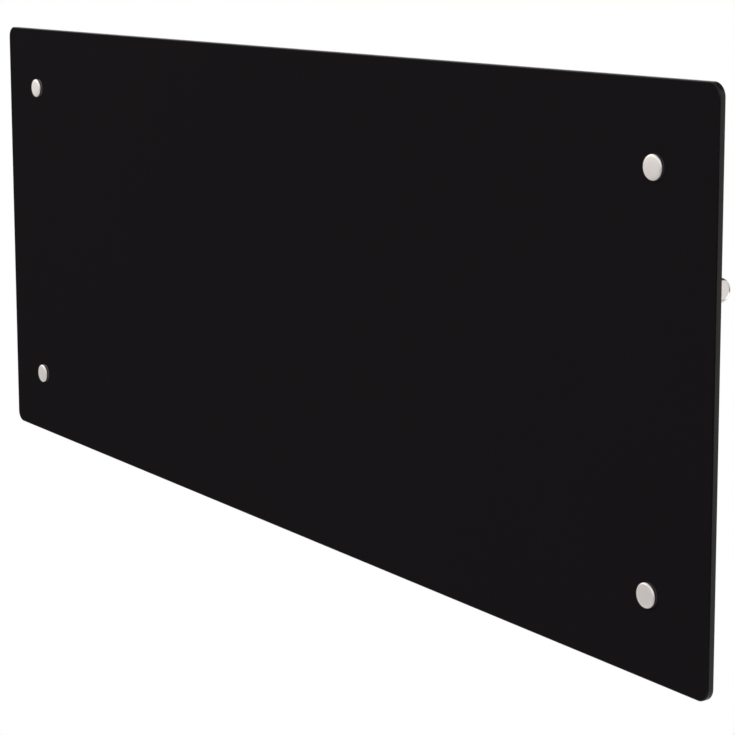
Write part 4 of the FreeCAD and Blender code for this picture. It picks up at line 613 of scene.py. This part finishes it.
# Finishes of the CAD nodes that keep their own shape: name, maker, its values and the nodes
CARRIED = (
    ("Powder_Coat", powder_coat, (), ("top_grille",)),
    ("Galvanised", galvanised, (), ("catch_guides",)),
    (
        "Zinc_Plated",
        plated,
        (),
        (
            "standoff_spacers", "cap_studs", "stud_nuts", "element_bracket_left",
            "element_bracket_right", "potentiometer", "pivot_lugs", "pivot_pins",
        ),
    ),
    ("Bright_Sheet", extruded, ((0.8, 0.8, 0.8), 0.2), ("heat_shield",)),
    ("Extruded_Fins", extruded, ((0.7, 0.7, 0.7),), ("element_fins",)),
    ("Steel_Sheath", extruded, ((0.42, 0.38, 0.35), 0.36), ("element_sheath",)),
    ("Ceramic", moulded, ((0.8, 0.77, 0.7), 0.6, 1200), ("element_insulators",)),
    ("Phenolic", moulded, ((0.045, 0.026, 0.018), 0.35), ("thermal_cutout",)),
    ("Board", moulded, ((0.03, 0.16, 0.05), 0.35), ("circuit_board",)),
    ("Relay_Blue", moulded, ((0.03, 0.12, 0.42), 0.35), ("relay",)),
    ("Capacitor_Yellow", moulded, ((0.72, 0.46, 0.06), 0.25), ("capacitor",)),
    ("Gasket_Clear", moulded, ((0.05, 0.05, 0.047), 0.25), ("cap_gaskets",)),
    ("Nylon_Natural", moulded, ((0.74, 0.71, 0.62), 0.4), ("glass_bushes", "terminal_block", "pot_shaft")),
    ("Liner_Nylon", moulded, ((0.78, 0.76, 0.7), 0.4), ("hook_liners",)),
    ("Silicone_Black", moulded, ((0.022, 0.022, 0.022), 0.6), ("glass_washers", "lead_grommet", "rest_pads")),
    ("Sensor_Bead", moulded, ((0.05, 0.05, 0.05), 0.2), ("room_sensor",)),
    ("Lamp_Glass", moulded, ((0.85, 0.4, 0.15), 0.1), ("pilot_lamp",)),
    ("Black_Plastic", black_plastic, (), ("gland_nut", "thermostat_base", "sensor_holder")),
    ("Brass", extruded, ((0.72, 0.52, 0.22), 0.3), ("terminal_screws", "earth_screw")),
    ("Lead_Brown", moulded, ((0.13, 0.055, 0.025), 0.4), ("live_lead",)),
    ("Lead_Blue", moulded, ((0.03, 0.1, 0.45), 0.4), ("neutral_lead",)),
    ("Lead_Red", moulded, ((0.4, 0.03, 0.025), 0.4), ("switched_lead",)),
    ("Lead_Striped", striped, ((0.05, 0.28, 0.05), (0.75, 0.65, 0.05)), ("earth_lead",)),
    ("Pointer_Ink", moulded, ((0.03, 0.03, 0.03), 0.5), ("knob_pointer",)),
)


# Geometry Nodes trees


def new_tree(name, **inputs):
    """A Geometry Nodes tree with these named inputs, and its group input and output."""
    tree = bpy.data.node_groups.new(name, "GeometryNodeTree")
    for label, kind in {"Geometry": "Geometry", **inputs, "Finish": "Material"}.items():
        tree.interface.new_socket(label, in_out="INPUT", socket_type="NodeSocket" + kind)
    tree.interface.new_socket("Geometry", in_out="OUTPUT", socket_type="NodeSocketGeometry")
    return tree, tree.nodes.new("NodeGroupInput"), tree.nodes.new("NodeGroupOutput")


def tree_node(tree, kind, settings=None, **inputs):
    made = tree.nodes.new(kind)
    for key, value in (settings or {}).items():
        setattr(made, key, value)
    for key, value in inputs.items():
        socket = made.inputs[key.replace("_", " ")]
        if isinstance(value, bpy.types.NodeSocket):
            tree.links.new(value, socket)
        else:
            socket.default_value = value
    return made


def close_tree(tree, geometry, given, output):
    """End a tree in real geometry with its material."""
    real = tree_node(tree, "GeometryNodeRealizeInstances", Geometry=geometry)
    painted = tree_node(tree, "GeometryNodeSetMaterial", Geometry=real.outputs[0], Material=given.outputs["Finish"])
    tree.links.new(painted.outputs[0], output.inputs[0])
    return tree


def repeat_tree():
    """Copies of a pattern, one on each point, turned by the point's own rotation."""
    tree, given, output = new_tree("Repeat On Points", Pattern="Object")
    turn = tree_node(tree, "GeometryNodeInputNamedAttribute", {"data_type": "QUATERNION"}, Name="turn")
    pattern = tree_node(tree, "GeometryNodeObjectInfo", Object=given.outputs["Pattern"])
    copies = tree_node(
        tree,
        "GeometryNodeInstanceOnPoints",
        Points=given.outputs["Geometry"],
        Instance=pattern.outputs["Geometry"],
        Rotation=turn.outputs["Attribute"],
    )
    return close_tree(tree, copies.outputs[0], given, output)


def dial_tree():
    """Short flat marks around an arc on the XY plane."""
    tree, given, output = new_tree(
        "Dial Marks", Radius="Float", Start="Float", Sweep="Float", Count="Int", Mark="Vector"
    )
    ring = tree_node(
        tree,
        "GeometryNodeCurveArc",
        Radius=given.outputs["Radius"],
        Start_Angle=given.outputs["Start"],
        Sweep_Angle=given.outputs["Sweep"],
        Resolution=given.outputs["Count"],
    )
    points = tree_node(tree, "GeometryNodeCurveToPoints", {"mode": "EVALUATED"}, Curve=ring.outputs[0])
    mark = tree_node(tree, "GeometryNodeMeshCube", Size=given.outputs["Mark"])
    copies = tree_node(
        tree,
        "GeometryNodeInstanceOnPoints",
        Points=points.outputs["Points"],
        Instance=mark.outputs[0],
        Rotation=points.outputs["Rotation"],
    )
    return close_tree(tree, copies.outputs[0], given, output)


def ribs_tree():
    """A row of equal ribs along a line."""
    tree, given, output = new_tree("Row Of Ribs", Count="Int", Start="Vector", Step="Vector", Rib="Vector")
    line = tree_node(
        tree,
        "GeometryNodeMeshLine",
        Count=given.outputs["Count"],
        Start_Location=given.outputs["Start"],
        Offset=given.outputs["Step"],
    )
    rib = tree_node(tree, "GeometryNodeMeshCube", Size=given.outputs["Rib"])
    copies = tree_node(tree, "GeometryNodeInstanceOnPoints", Points=line.outputs[0], Instance=rib.outputs[0])
    return close_tree(tree, copies.outputs[0], given, output)


def grown(tree, name, start_mesh, **values):
    """The plain mesh that a tree makes with these values."""
    host = link(bpy.data.objects.new(name + "_host", start_mesh))
    modifier = host.modifiers.new(name, "NODES")
    modifier.node_group = tree
    for item in tree.interface.items_tree:
        if item.in_out == "INPUT" and item.name in values:
            modifier[item.identifier] = values[item.name]
    mesh = plain_mesh(host, name)
    host.modifiers.remove(modifier)
    bpy.data.objects.remove(host)
    return mesh


def point_mesh(name, places):
    """Points with a rotation each, for Repeat On Points."""
    mesh = bpy.data.meshes.new(name)
    mesh.from_pydata([tuple(place) for place, _ in places], [], [])
    turn = mesh.attributes.new("turn", "QUATERNION", "POINT")
    for index, (_, axis) in enumerate(places):
        turn.data[index].value = Vector((0, 0, 1)).rotation_difference(Vector(axis))
    return mesh


def repeated(name, pattern_mesh, places, look):
    """One mesh with the pattern at each place, given as a point and an axis."""
    pattern = link(bpy.data.objects.new(name + "_pattern", pattern_mesh))
    mesh = grown(repeat_tree(), name, point_mesh(name + "_points", places), Pattern=pattern, Finish=look)
    bpy.data.objects.remove(pattern)
    return smoothed(mesh)


# Operators, one for each piece or group of like pieces


class HEATER_OT_carried(bpy.types.Operator):
    """Give every CAD node that keeps its shape its own finish"""

    bl_idname = "heater.carried"
    bl_label = "Finishes of CAD Nodes"

    def execute(self, context):
        for name, make, values, nodes in CARRIED:
            for node in nodes:
                mesh = NODES[node].data
                mesh.materials.clear()
                mesh.materials.append(finish(name, make, *values))
        return {"FINISHED"}


def is_fold(edge):
    """True for an edge between two broad faces, and not for the thin rim of a sheet."""
    broad = 4 * MM
    return min(face.calc_area() for face in edge.link_faces) > broad * edge.calc_length()


class HEATER_OT_casing(bpy.types.Operator):
    """Round the folds of the sheet metal"""

    bl_idname = "heater.casing"
    bl_label = "Folded Sheet"

    def execute(self, context):
        radius = context.scene.heater_casing.fold_radius
        coat = finish("Powder_Coat", powder_coat)
        zinc = finish("Galvanised", galvanised)
        coated = ("front_plate", "end_cap_left", "end_cap_right")
        bare = ("rear_shell", "bracket_rail", "bracket_upright_left", "bracket_upright_right")
        for look, slot, nodes in ((coat, "black_steel", coated), (zinc, "galvanised", bare)):
            for node in nodes:
                softened(node, node + "_folded", look, radius, segments=3, where=is_fold)
        return {"FINISHED"}


class HEATER_OT_glass(bpy.types.Operator):
    """Make the black glass front with its ground edge and fixing holes"""

    bl_idname = "heater.glass"
    bl_label = "Glass Front"

    def execute(self, context):
        sizes = context.scene.heater_glass
        low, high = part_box("glass_front")
        corner_steps, hole_steps = 20, 48
        curve = bpy.data.curves.new("glass_outline", "CURVE")
        curve.dimensions = "2D"
        curve.fill_mode = "BOTH"
        half = Vector(((high.x - low.x) / 2, (high.z - low.z) / 2)) - Vector((sizes.arris, sizes.arris))
        radius = sizes.corner - sizes.arris
        outline = []
        for x_sign, z_sign, start in ((1, 1, 0), (-1, 1, 90), (-1, -1, 180), (1, -1, 270)):
            centre = (x_sign * (half.x - radius), z_sign * (half.y - radius))
            outline += arc(centre, radius, start, start + 90, corner_steps)
        loops = [outline]
        last = 360 - 360 / hole_steps
        for node in CAPS:
            middle = centre_of(node)
            loops.append(arc((middle.x, middle.z), sizes.hole + sizes.arris, 0, last, hole_steps - 1))
        for points in loops:
            spline = curve.splines.new("POLY")
            spline.points.add(len(points) - 1)
            for point, (x, y) in zip(spline.points, points):
                point.co = (x, y, 0, 1)
            spline.use_cyclic_u = True
        curve.extrude = (high.y - low.y) / 2 - sizes.arris
        curve.bevel_depth = sizes.arris
        curve.bevel_resolution = 0
        host = link(bpy.data.objects.new("glass_outline", curve))
        host.matrix_world = Matrix.Translation((0, (low.y + high.y) / 2, 0)) @ Matrix.Rotation(math.pi / 2, 4, "X")
        shape = plain_mesh(host, "glass_front_plate")
        bpy.data.objects.remove(host)
        bm = bmesh.new()
        bm.from_mesh(shape)
        bmesh.ops.remove_doubles(bm, verts=bm.verts, dist=MERGE)
        bmesh.ops.recalc_face_normals(bm, faces=bm.faces)
        bm.normal_update()
        squarely = 0.9
        for face in bm.faces:
            face.material_index = 0 if face.normal.y < -squarely else 2 if face.normal.y > squarely else 1
        mesh = from_bmesh(bm, "glass_front_plate", sharp_angle=30)
        looks = [
            finish("Glass_Face", glass_face),
            finish("Glass_Edge", glass_edge),
            finish("Glass_Back_Enamel", glass_back),
        ]
        piece("glass_front_plate", mesh, looks, "heater", ["glass_front"])
        return {"FINISHED"}


class HEATER_OT_caps(bpy.types.Operator):
    """Turn the four satin caps that hold the glass"""

    bl_idname = "heater.caps"
    bl_label = "Glass Caps"

    def execute(self, context):
        rounding = context.scene.heater_metal.cap_rounding
        look = finish("Satin_Cap", satin_cap)
        height = 1.5 * MM
        crown = 0.1 * MM
        chamfer = 0.15 * MM
        shank = 4 * MM
        rim = height - crown
        for node in CAPS:
            low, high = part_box(node)
            middle = centre_of(node)
            radius = (high.x - low.x) / 2
            depth = high.y - low.y - height
            profile = [(0, height), (radius * 0.4, height - crown * 0.1), (radius * 0.7, height - crown * 0.4)]
            profile += shoulder(radius, rim, rounding, rim - chamfer, 86, 12)
            profile += [(radius - chamfer, 0), (shank, 0), (shank, -depth), (0, -depth)]
            mesh = turned(node + "_turned", profile, (middle.x, low.y + height, middle.z), (0, -1, 0))
            piece(node + "_turned", mesh, [look], "heater", [node])
        return {"FINISHED"}


class HEATER_OT_knob(bpy.types.Operator):
    """Turn the satin thermostat knob"""

    bl_idname = "heater.knob"
    bl_label = "Thermostat Knob"

    def execute(self, context):
        low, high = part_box("thermostat_knob")
        middle = centre_of("thermostat_knob")
        radius = (high.z - low.z) / 2
        length = high.x - low.x
        across, down = 2.2 * MM, 3.8 * MM
        dish = 0.3 * MM
        lip_width, lip_depth = 0.05 * MM, 0.08 * MM
        groove = 0.35 * MM
        groove_low, groove_high = 1.9 * MM, 2.9 * MM
        chamfer = 0.3 * MM
        bore, bore_depth = 6.4 * MM, 3 * MM
        face = radius - across
        profile = [(0, length - dish), (face - dish, length - dish), (face - lip_width, length - lip_depth)]
        profile += shoulder(radius, length, across, down, 88, 16)
        profile += [(radius, groove_high), (radius - groove, groove_high - chamfer)]
        profile += [(radius - groove, groove_low + chamfer), (radius, groove_low)]
        profile += [(radius, chamfer), (radius - chamfer, 0), (bore, 0), (bore, bore_depth), (0, bore_depth)]
        mesh = turned("thermostat_knob_turned", profile, (low.x, middle.y, middle.z), (1, 0, 0), 128)
        look = finish("Satin_Knob", satin_knob)
        piece("thermostat_knob_turned", mesh, [look], "knob", ["thermostat_knob"])
        return {"FINISHED"}


def pan_head(radius, height, shank, length):
    """Profile of a pan-head screw whose top lies at 0."""
    crown = height * 0.7
    skirt = height * 0.72
    profile = [(0, 0), (radius * 0.4, 0)] + arc((radius * 0.45, -crown), crown, 85, 10, 6)
    profile += [(radius, -skirt), (radius, -height), (shank, -height), (shank, -height - length)]
    return profile + [(0, -height - length)]


class HEATER_OT_thermostat(bpy.types.Operator):
    """Make the moulded housing with its dial, lens and gland"""

    bl_idname = "heater.thermostat"
    bl_label = "Thermostat Housing"

    def execute(self, context):
        casing = context.scene.heater_casing
        plastic = finish("Black_Plastic", black_plastic)
        node = "thermostat_housing"
        softened(node, node + "_moulded", plastic, casing.edge_rounding, segments=3)
        softened("cable_gland", "cable_gland_moulded", plastic, 0.25 * MM, shortest=6 * MM)
        low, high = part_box(node)
        knob = centre_of("thermostat_knob")
        self.dial(upright((high.x, knob.y, knob.z), (1, 0, 0)), casing.tick_count)
        self.lens(high.x)
        look = finish("Black_Screws", black_screw)
        head_height = 0.9 * MM
        inset = 5 * MM
        axis = (1, 0, 0)
        places = [(Vector((high.x + head_height, knob.y, z)), axis) for z in (low.z + inset, high.z - inset)]
        profile = pan_head(radius=2 * MM, height=head_height, shank=1 * MM, length=0.5 * MM)
        head = turned("small_head", profile, (0, 0, 0), (0, 0, 1), 32)
        head = cross_headed(head, reach=2.2 * MM, width=0.55 * MM, depth=0.5 * MM)
        mesh = repeated("housing_screws", head, places, look)
        piece("housing_screws", mesh, [look], body_of(node))
        return {"FINISHED"}

    def dial(self, place, tick_count):
        """Marks and plain figures round the knob."""
        ink = finish("White_Ink", white_ink)
        thickness = 0.1 * MM
        start, sweep = -45, 270
        marks = grown(
            dial_tree(),
            "dial_marks",
            bpy.data.meshes.new("dial_start"),
            Radius=9.2 * MM,
            Start=math.radians(start),
            Sweep=math.radians(sweep),
            Count=tick_count,
            Mark=(0.8 * MM, 0.22 * MM, thickness),
            Finish=ink,
        )
        parts = [(marks, place)]
        figures = 6
        ring = 11.1 * MM
        for number in range(figures):
            angle = math.radians(start + sweep - number * sweep / (figures - 1))
            spot = Matrix.Translation((ring * math.cos(angle), ring * math.sin(angle), 0))
            parts.append((figure(str(number + 1), 2 * MM, thickness), place @ spot))
        piece("dial_marks", joined("dial_marks", parts), [ink], "heater")

    def lens(self, face):
        """Red lens with a domed front in a bright ring."""
        low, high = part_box("pilot_lens")
        middle = centre_of("pilot_lens")
        steps = 48
        radius = (high.z - low.z) / 2
        length = high.x - low.x
        crown = 0.8 * MM
        dome = (radius**2 + crown**2) / (2 * crown)
        profile = arc((0, length - dome), dome, 90, math.degrees(math.acos(radius / dome)), 12)
        profile += [(radius, 0), (0, 0)]
        mesh = turned("pilot_lens_domed", profile, (low.x, middle.y, middle.z), (1, 0, 0), steps)
        piece("pilot_lens_domed", mesh, [finish("Lens_Red", lens_red)], "heater", ["pilot_lens"])
        half, height = 0.35 * MM, 0.45 * MM
        inner = radius + 0.05 * MM
        outer = inner + 2 * half
        ring = [(inner, 0), (inner, height)] + arc((inner + half, height), half, 170, 10, 8)
        ring += [(outer, height), (outer, 0), (inner, 0)]
        mesh = turned("pilot_lens_ring", ring, (face, middle.y, middle.z), (1, 0, 0), steps)
        look = finish("Bright_Ring", satin, (0.8, 0.8, 0.8), 0.2)
        piece("pilot_lens_ring", mesh, [look], "heater")


class HEATER_OT_switch(bpy.types.Operator):
    """Make the rocker switch with its figures 1 and 0"""

    bl_idname = "heater.switch"
    bl_label = "Rocker Switch"

    def execute(self, context):
        gloss = finish("Black_Gloss", black_gloss)
        ink = finish("White_Ink", white_ink)
        softened("switch_body", "switch_body_moulded", gloss, 0.4 * MM)
        rocker = softened("rocker", "rocker_moulded", gloss, 0.3 * MM, shortest=2 * MM)
        low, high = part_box("rocker")
        middle = centre_of("rocker")
        offset = (high.z - low.z) * 0.27
        in_front = high.x + 1 * MM
        parts = []
        for text, z in (("1", middle.z + offset), ("0", middle.z - offset)):
            hit, place, normal, _ = rocker.ray_cast(Vector((in_front, middle.y, z)), Vector((-1, 0, 0)))
            if not hit:
                raise RuntimeError("the rocker has no face for its figure " + text)
            parts.append((figure(text, 3.4 * MM, 0.1 * MM), upright(place, normal)))
        piece("rocker_figures", joined("rocker_figures", parts), [ink], "rocker")
        return {"FINISHED"}


class HEATER_OT_screws(bpy.types.Operator):
    """Set a pan-head screw with a cross recess at every casing screw"""

    bl_idname = "heater.screws"
    bl_label = "Casing Screws"

    def execute(self, context):
        look = finish("Black_Screws", black_screw)
        shank_reach = 2 * MM
        places = []
        for points in solids("casing_screws"):
            low, high = span(points)
            size = high - low
            along = max(range(3), key=lambda index: size[index])
            middle = (low + high) / 2
            head = []
            for point in points:
                offset = point - middle
                offset[along] = 0
                if offset.length > shank_reach:
                    head.append(point[along])
            side = 1 if sum(head) / len(head) > middle[along] else -1
            seat = middle.copy()
            seat[along] = (high if side > 0 else low)[along]
            places.append((seat, unit(along) * side))
        profile = pan_head(radius=3.1 * MM, height=1.6 * MM, shank=1.6 * MM, length=6 * MM)
        screw = turned("screw_head", profile, (0, 0, 0), (0, 0, 1), 40)
        screw = cross_headed(screw, reach=3.4 * MM, width=0.8 * MM, depth=0.9 * MM)
        mesh = repeated("casing_screws_pan", screw, places, look)
        piece("casing_screws_pan", mesh, [look], "heater", ["casing_screws"])
        return {"FINISHED"}


class HEATER_OT_bracket(bpy.types.Operator):
    """Make the domed rivets and the ribbed catches of the wall bracket"""

    bl_idname = "heater.bracket"
    bl_label = "Wall Bracket"

    def execute(self, context):
        plastic = finish("Black_Plastic", black_plastic)
        bright = finish("Bright_Rivet", extruded, (0.78, 0.78, 0.78), 0.25)
        inset, pitch = 1.4 * MM, 1.7 * MM
        for node in ("catch_left", "catch_right"):
            softened(node, node + "_moulded", plastic, 0.35 * MM, shortest=2.4 * MM)
            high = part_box(node)[1]
            mesh = grown(
                ribs_tree(),
                node + "_ribs",
                bpy.data.meshes.new("ribs_start"),
                Count=4,
                Start=(centre_of(node).x, high.y - inset, high.z),
                Step=(0, -pitch, 0),
                Rib=(9 * MM, 0.7 * MM, 0.5 * MM),
                Finish=plastic,
            )
            piece(node + "_ribs", mesh, [plastic], node)
        places = []
        for points in solids("bracket_rivets"):
            low, high = span(points)
            places.append((Vector(((low.x + high.x) / 2, low.y, (low.z + high.z) / 2)), Vector((0, -1, 0))))
        length = high.y - low.y
        shank, height = 2.4 * MM, 1.2 * MM
        dome = ((0, 0), (1.2, 0.05), (2.4, 0.25), (3.4, 0.65))
        profile = [(radius * MM, -drop * MM) for radius, drop in dome]
        profile += [(4 * MM, -height), (shank, -height), (shank, -length), (0, -length)]
        head = turned("rivet", profile, (0, 0, 0), (0, 0, 1), 32)
        mesh = repeated("bracket_rivets_domed", head, places, bright)
        piece("bracket_rivets_domed", mesh, [bright], "bracket", ["bracket_rivets"])
        return {"FINISHED"}


class HEATER_OT_stage(bpy.types.Operator):
    """Lay the pale floor, and set the lights, the world and the camera"""

    bl_idname = "heater.stage"
    bl_label = "Stage"

    def execute(self, context):
        stage = context.scene.heater_stage
        self.floor(stage)
        self.world(stage)
        # name, place, size, power, and whether gloss mirrors the light: in place of the back light
        # it mirrors the dark flag of the world
        lights = (
            ("Key_Light", (-2.0, -1.7, 1.35), 1.8, stage.key_power, True),
            ("Fill_Light", (2.4, -0.6, 1.6), 2.4, stage.fill_power, True),
            ("Back_Light", (0.4, 2.6, 1.8), 2.0, stage.back_power, False),
        )
        for name, place, size, power, mirrored in lights:
            lamp = bpy.data.lights.new(name, "AREA")
            lamp.shape = "SQUARE"
            lamp.size = size
            lamp.energy = power
            host = link(bpy.data.objects.new(name, lamp))
            host.location = place
            host.rotation_euler = (-Vector(place)).to_track_quat("-Z", "Y").to_euler()
            host.visible_glossy = mirrored
        camera = bpy.data.cameras.new("Camera")
        camera.sensor_width = 36
        camera.lens = 104.253
        camera.shift_y = -0.19
        host = link(bpy.data.objects.new("Camera", camera))
        host.location = (1.33955, -0.94363, 0.26974)
        host.rotation_euler = [math.radians(angle) for angle in (82.1146, 0.1335, 54.9139)]
        context.scene.camera = host
        context.scene.view_settings.view_transform = "Standard"
        return {"FINISHED"}

    def floor(self, stage):
        """A pale round floor that fades out towards its rim."""
        fading, faded = 0.5 * stage.floor_radius, 0.98 * stage.floor_radius
        bm = bmesh.new()
        bmesh.ops.create_circle(bm, cap_ends=True, segments=128, radius=stage.floor_radius)
        bmesh.ops.translate(bm, verts=bm.verts, vec=(0, 0, stage.floor_level))
        mesh = from_bmesh(bm, "Floor")
        look = Finish("Floor_Pale", Roughness=0.7, Base_Color=(0.86, 0.86, 0.86))
        spread = look.node("VectorMath", {"operation": "LENGTH"}, (look.stretched((1, 1, 0)),)).outputs["Value"]
        settings = {"interpolation_type": "SMOOTHSTEP"}
        fade = look.node("MapRange", settings, Value=spread, From_Min=fading, From_Max=faded).outputs[0]
        clear = look.node("BsdfTransparent").outputs[0]
        mixed = look.node("MixShader", values=(fade, look.shader.outputs[0], clear)).outputs[0]
        look.feed(look.tree.nodes["Material Output"].inputs[0], mixed)
        mesh.materials.append(look.material)
        link(bpy.data.objects.new("Floor", mesh))

    def world(self, stage):
        """White for the camera, even light on matt surfaces, and a studio that gloss mirrors."""
        world = bpy.data.worlds.new("Studio")
        bpy.context.scene.world = world
        world.use_nodes = True
        tree = world.node_tree
        background = tree.nodes["Background"]
        background.inputs["Color"].default_value = (1, 1, 1, 1)
        ray = tree.nodes.new("ShaderNodeLightPath").outputs
        direction = tree.nodes.new("ShaderNodeTexCoord").outputs["Generated"]

        def add(kind, operation, *inputs):
            made = tree.nodes.new("ShaderNode" + kind)
            if operation:
                made.operation = operation
            for socket, item in zip(made.inputs, inputs):
                if isinstance(item, bpy.types.NodeSocket):
                    tree.links.new(item, socket)
                else:
                    socket.default_value = item
            return made.outputs

        def ramp(source, start, end, low, high):
            return add("MapRange", None, source, start, end, low, high)[0]

        def product(first, second):
            return add("Math", "MULTIPLY", first, second)[0]

        def largest(first, *others):
            for other in others:
                first = add("Math", "MAXIMUM", first, other)[0]
            return first

        # a dark band lies in front of the heater a little below eye level, and the rest is pale
        parts = add("SeparateXYZ", None, direction)
        behind = ramp(parts["Y"], -0.3, 0.1, 0.0, 1.0)
        above = ramp(parts["Z"], 0.02, 0.12, 0.0, 1.0)
        below = ramp(parts["Z"], -0.38, -0.46, 0.0, 0.7)
        # a dark flag hangs above and behind the heater, and shapes the shoulder of the knob
        flag_at = (-0.15, 0.5, 0.853)
        nearness = add("VectorMath", "DOT_PRODUCT", direction, flag_at)["Value"]
        studio = product(largest(behind, above, below), ramp(nearness, 0.72, 0.80, 1.0, 0.03))
        strength = largest(
            ray["Is Camera Ray"],
            ray["Is Transmission Ray"],
            product(ray["Is Glossy Ray"], studio),
            product(ray["Is Diffuse Ray"], stage.ambient),
        )
        tree.links.new(strength, background.inputs["Strength"])


class HEATER_PT_sidebar(bpy.types.Panel):
    """Sizes, colours and steps of the heater's look"""

    bl_idname = "HEATER_PT_sidebar"
    bl_label = "Panel Heater"
    bl_space_type = "VIEW_3D"
    bl_region_type = "UI"
    bl_category = "Heater"

    def draw(self, context):
        for name in SETTINGS:
            group = getattr(context.scene, name)
            column = self.layout.column()
            for key in group.bl_rna.properties.keys():
                if key not in ("rna_type", "name"):
                    column.prop(group, key)
        for operator in OPERATORS:
            self.layout.operator(operator.bl_idname)


SETTINGS = {
    "heater_glass": HeaterGlass,
    "heater_metal": HeaterMetal,
    "heater_casing": HeaterCasing,
    "heater_stage": HeaterStage,
}
OPERATORS = (
    HEATER_OT_carried,
    HEATER_OT_casing,
    HEATER_OT_glass,
    HEATER_OT_caps,
    HEATER_OT_knob,
    HEATER_OT_thermostat,
    HEATER_OT_switch,
    HEATER_OT_screws,
    HEATER_OT_bracket,
    HEATER_OT_stage,
)


def register():
    for group in (*SETTINGS.values(), *OPERATORS, HEATER_PT_sidebar):
        bpy.utils.register_class(group)
    for name, group in SETTINGS.items():
        setattr(bpy.types.Scene, name, bpy.props.PointerProperty(type=group))


def unregister():
    for name in SETTINGS:
        delattr(bpy.types.Scene, name)
    for group in (HEATER_PT_sidebar, *reversed(OPERATORS), *SETTINGS.values()):
        bpy.utils.unregister_class(group)


def main():
    register()
    for operator in OPERATORS:
        category, name = operator.bl_idname.split(".")
        getattr(getattr(bpy.ops, category), name)()


if __name__ == "__main__":
    main()
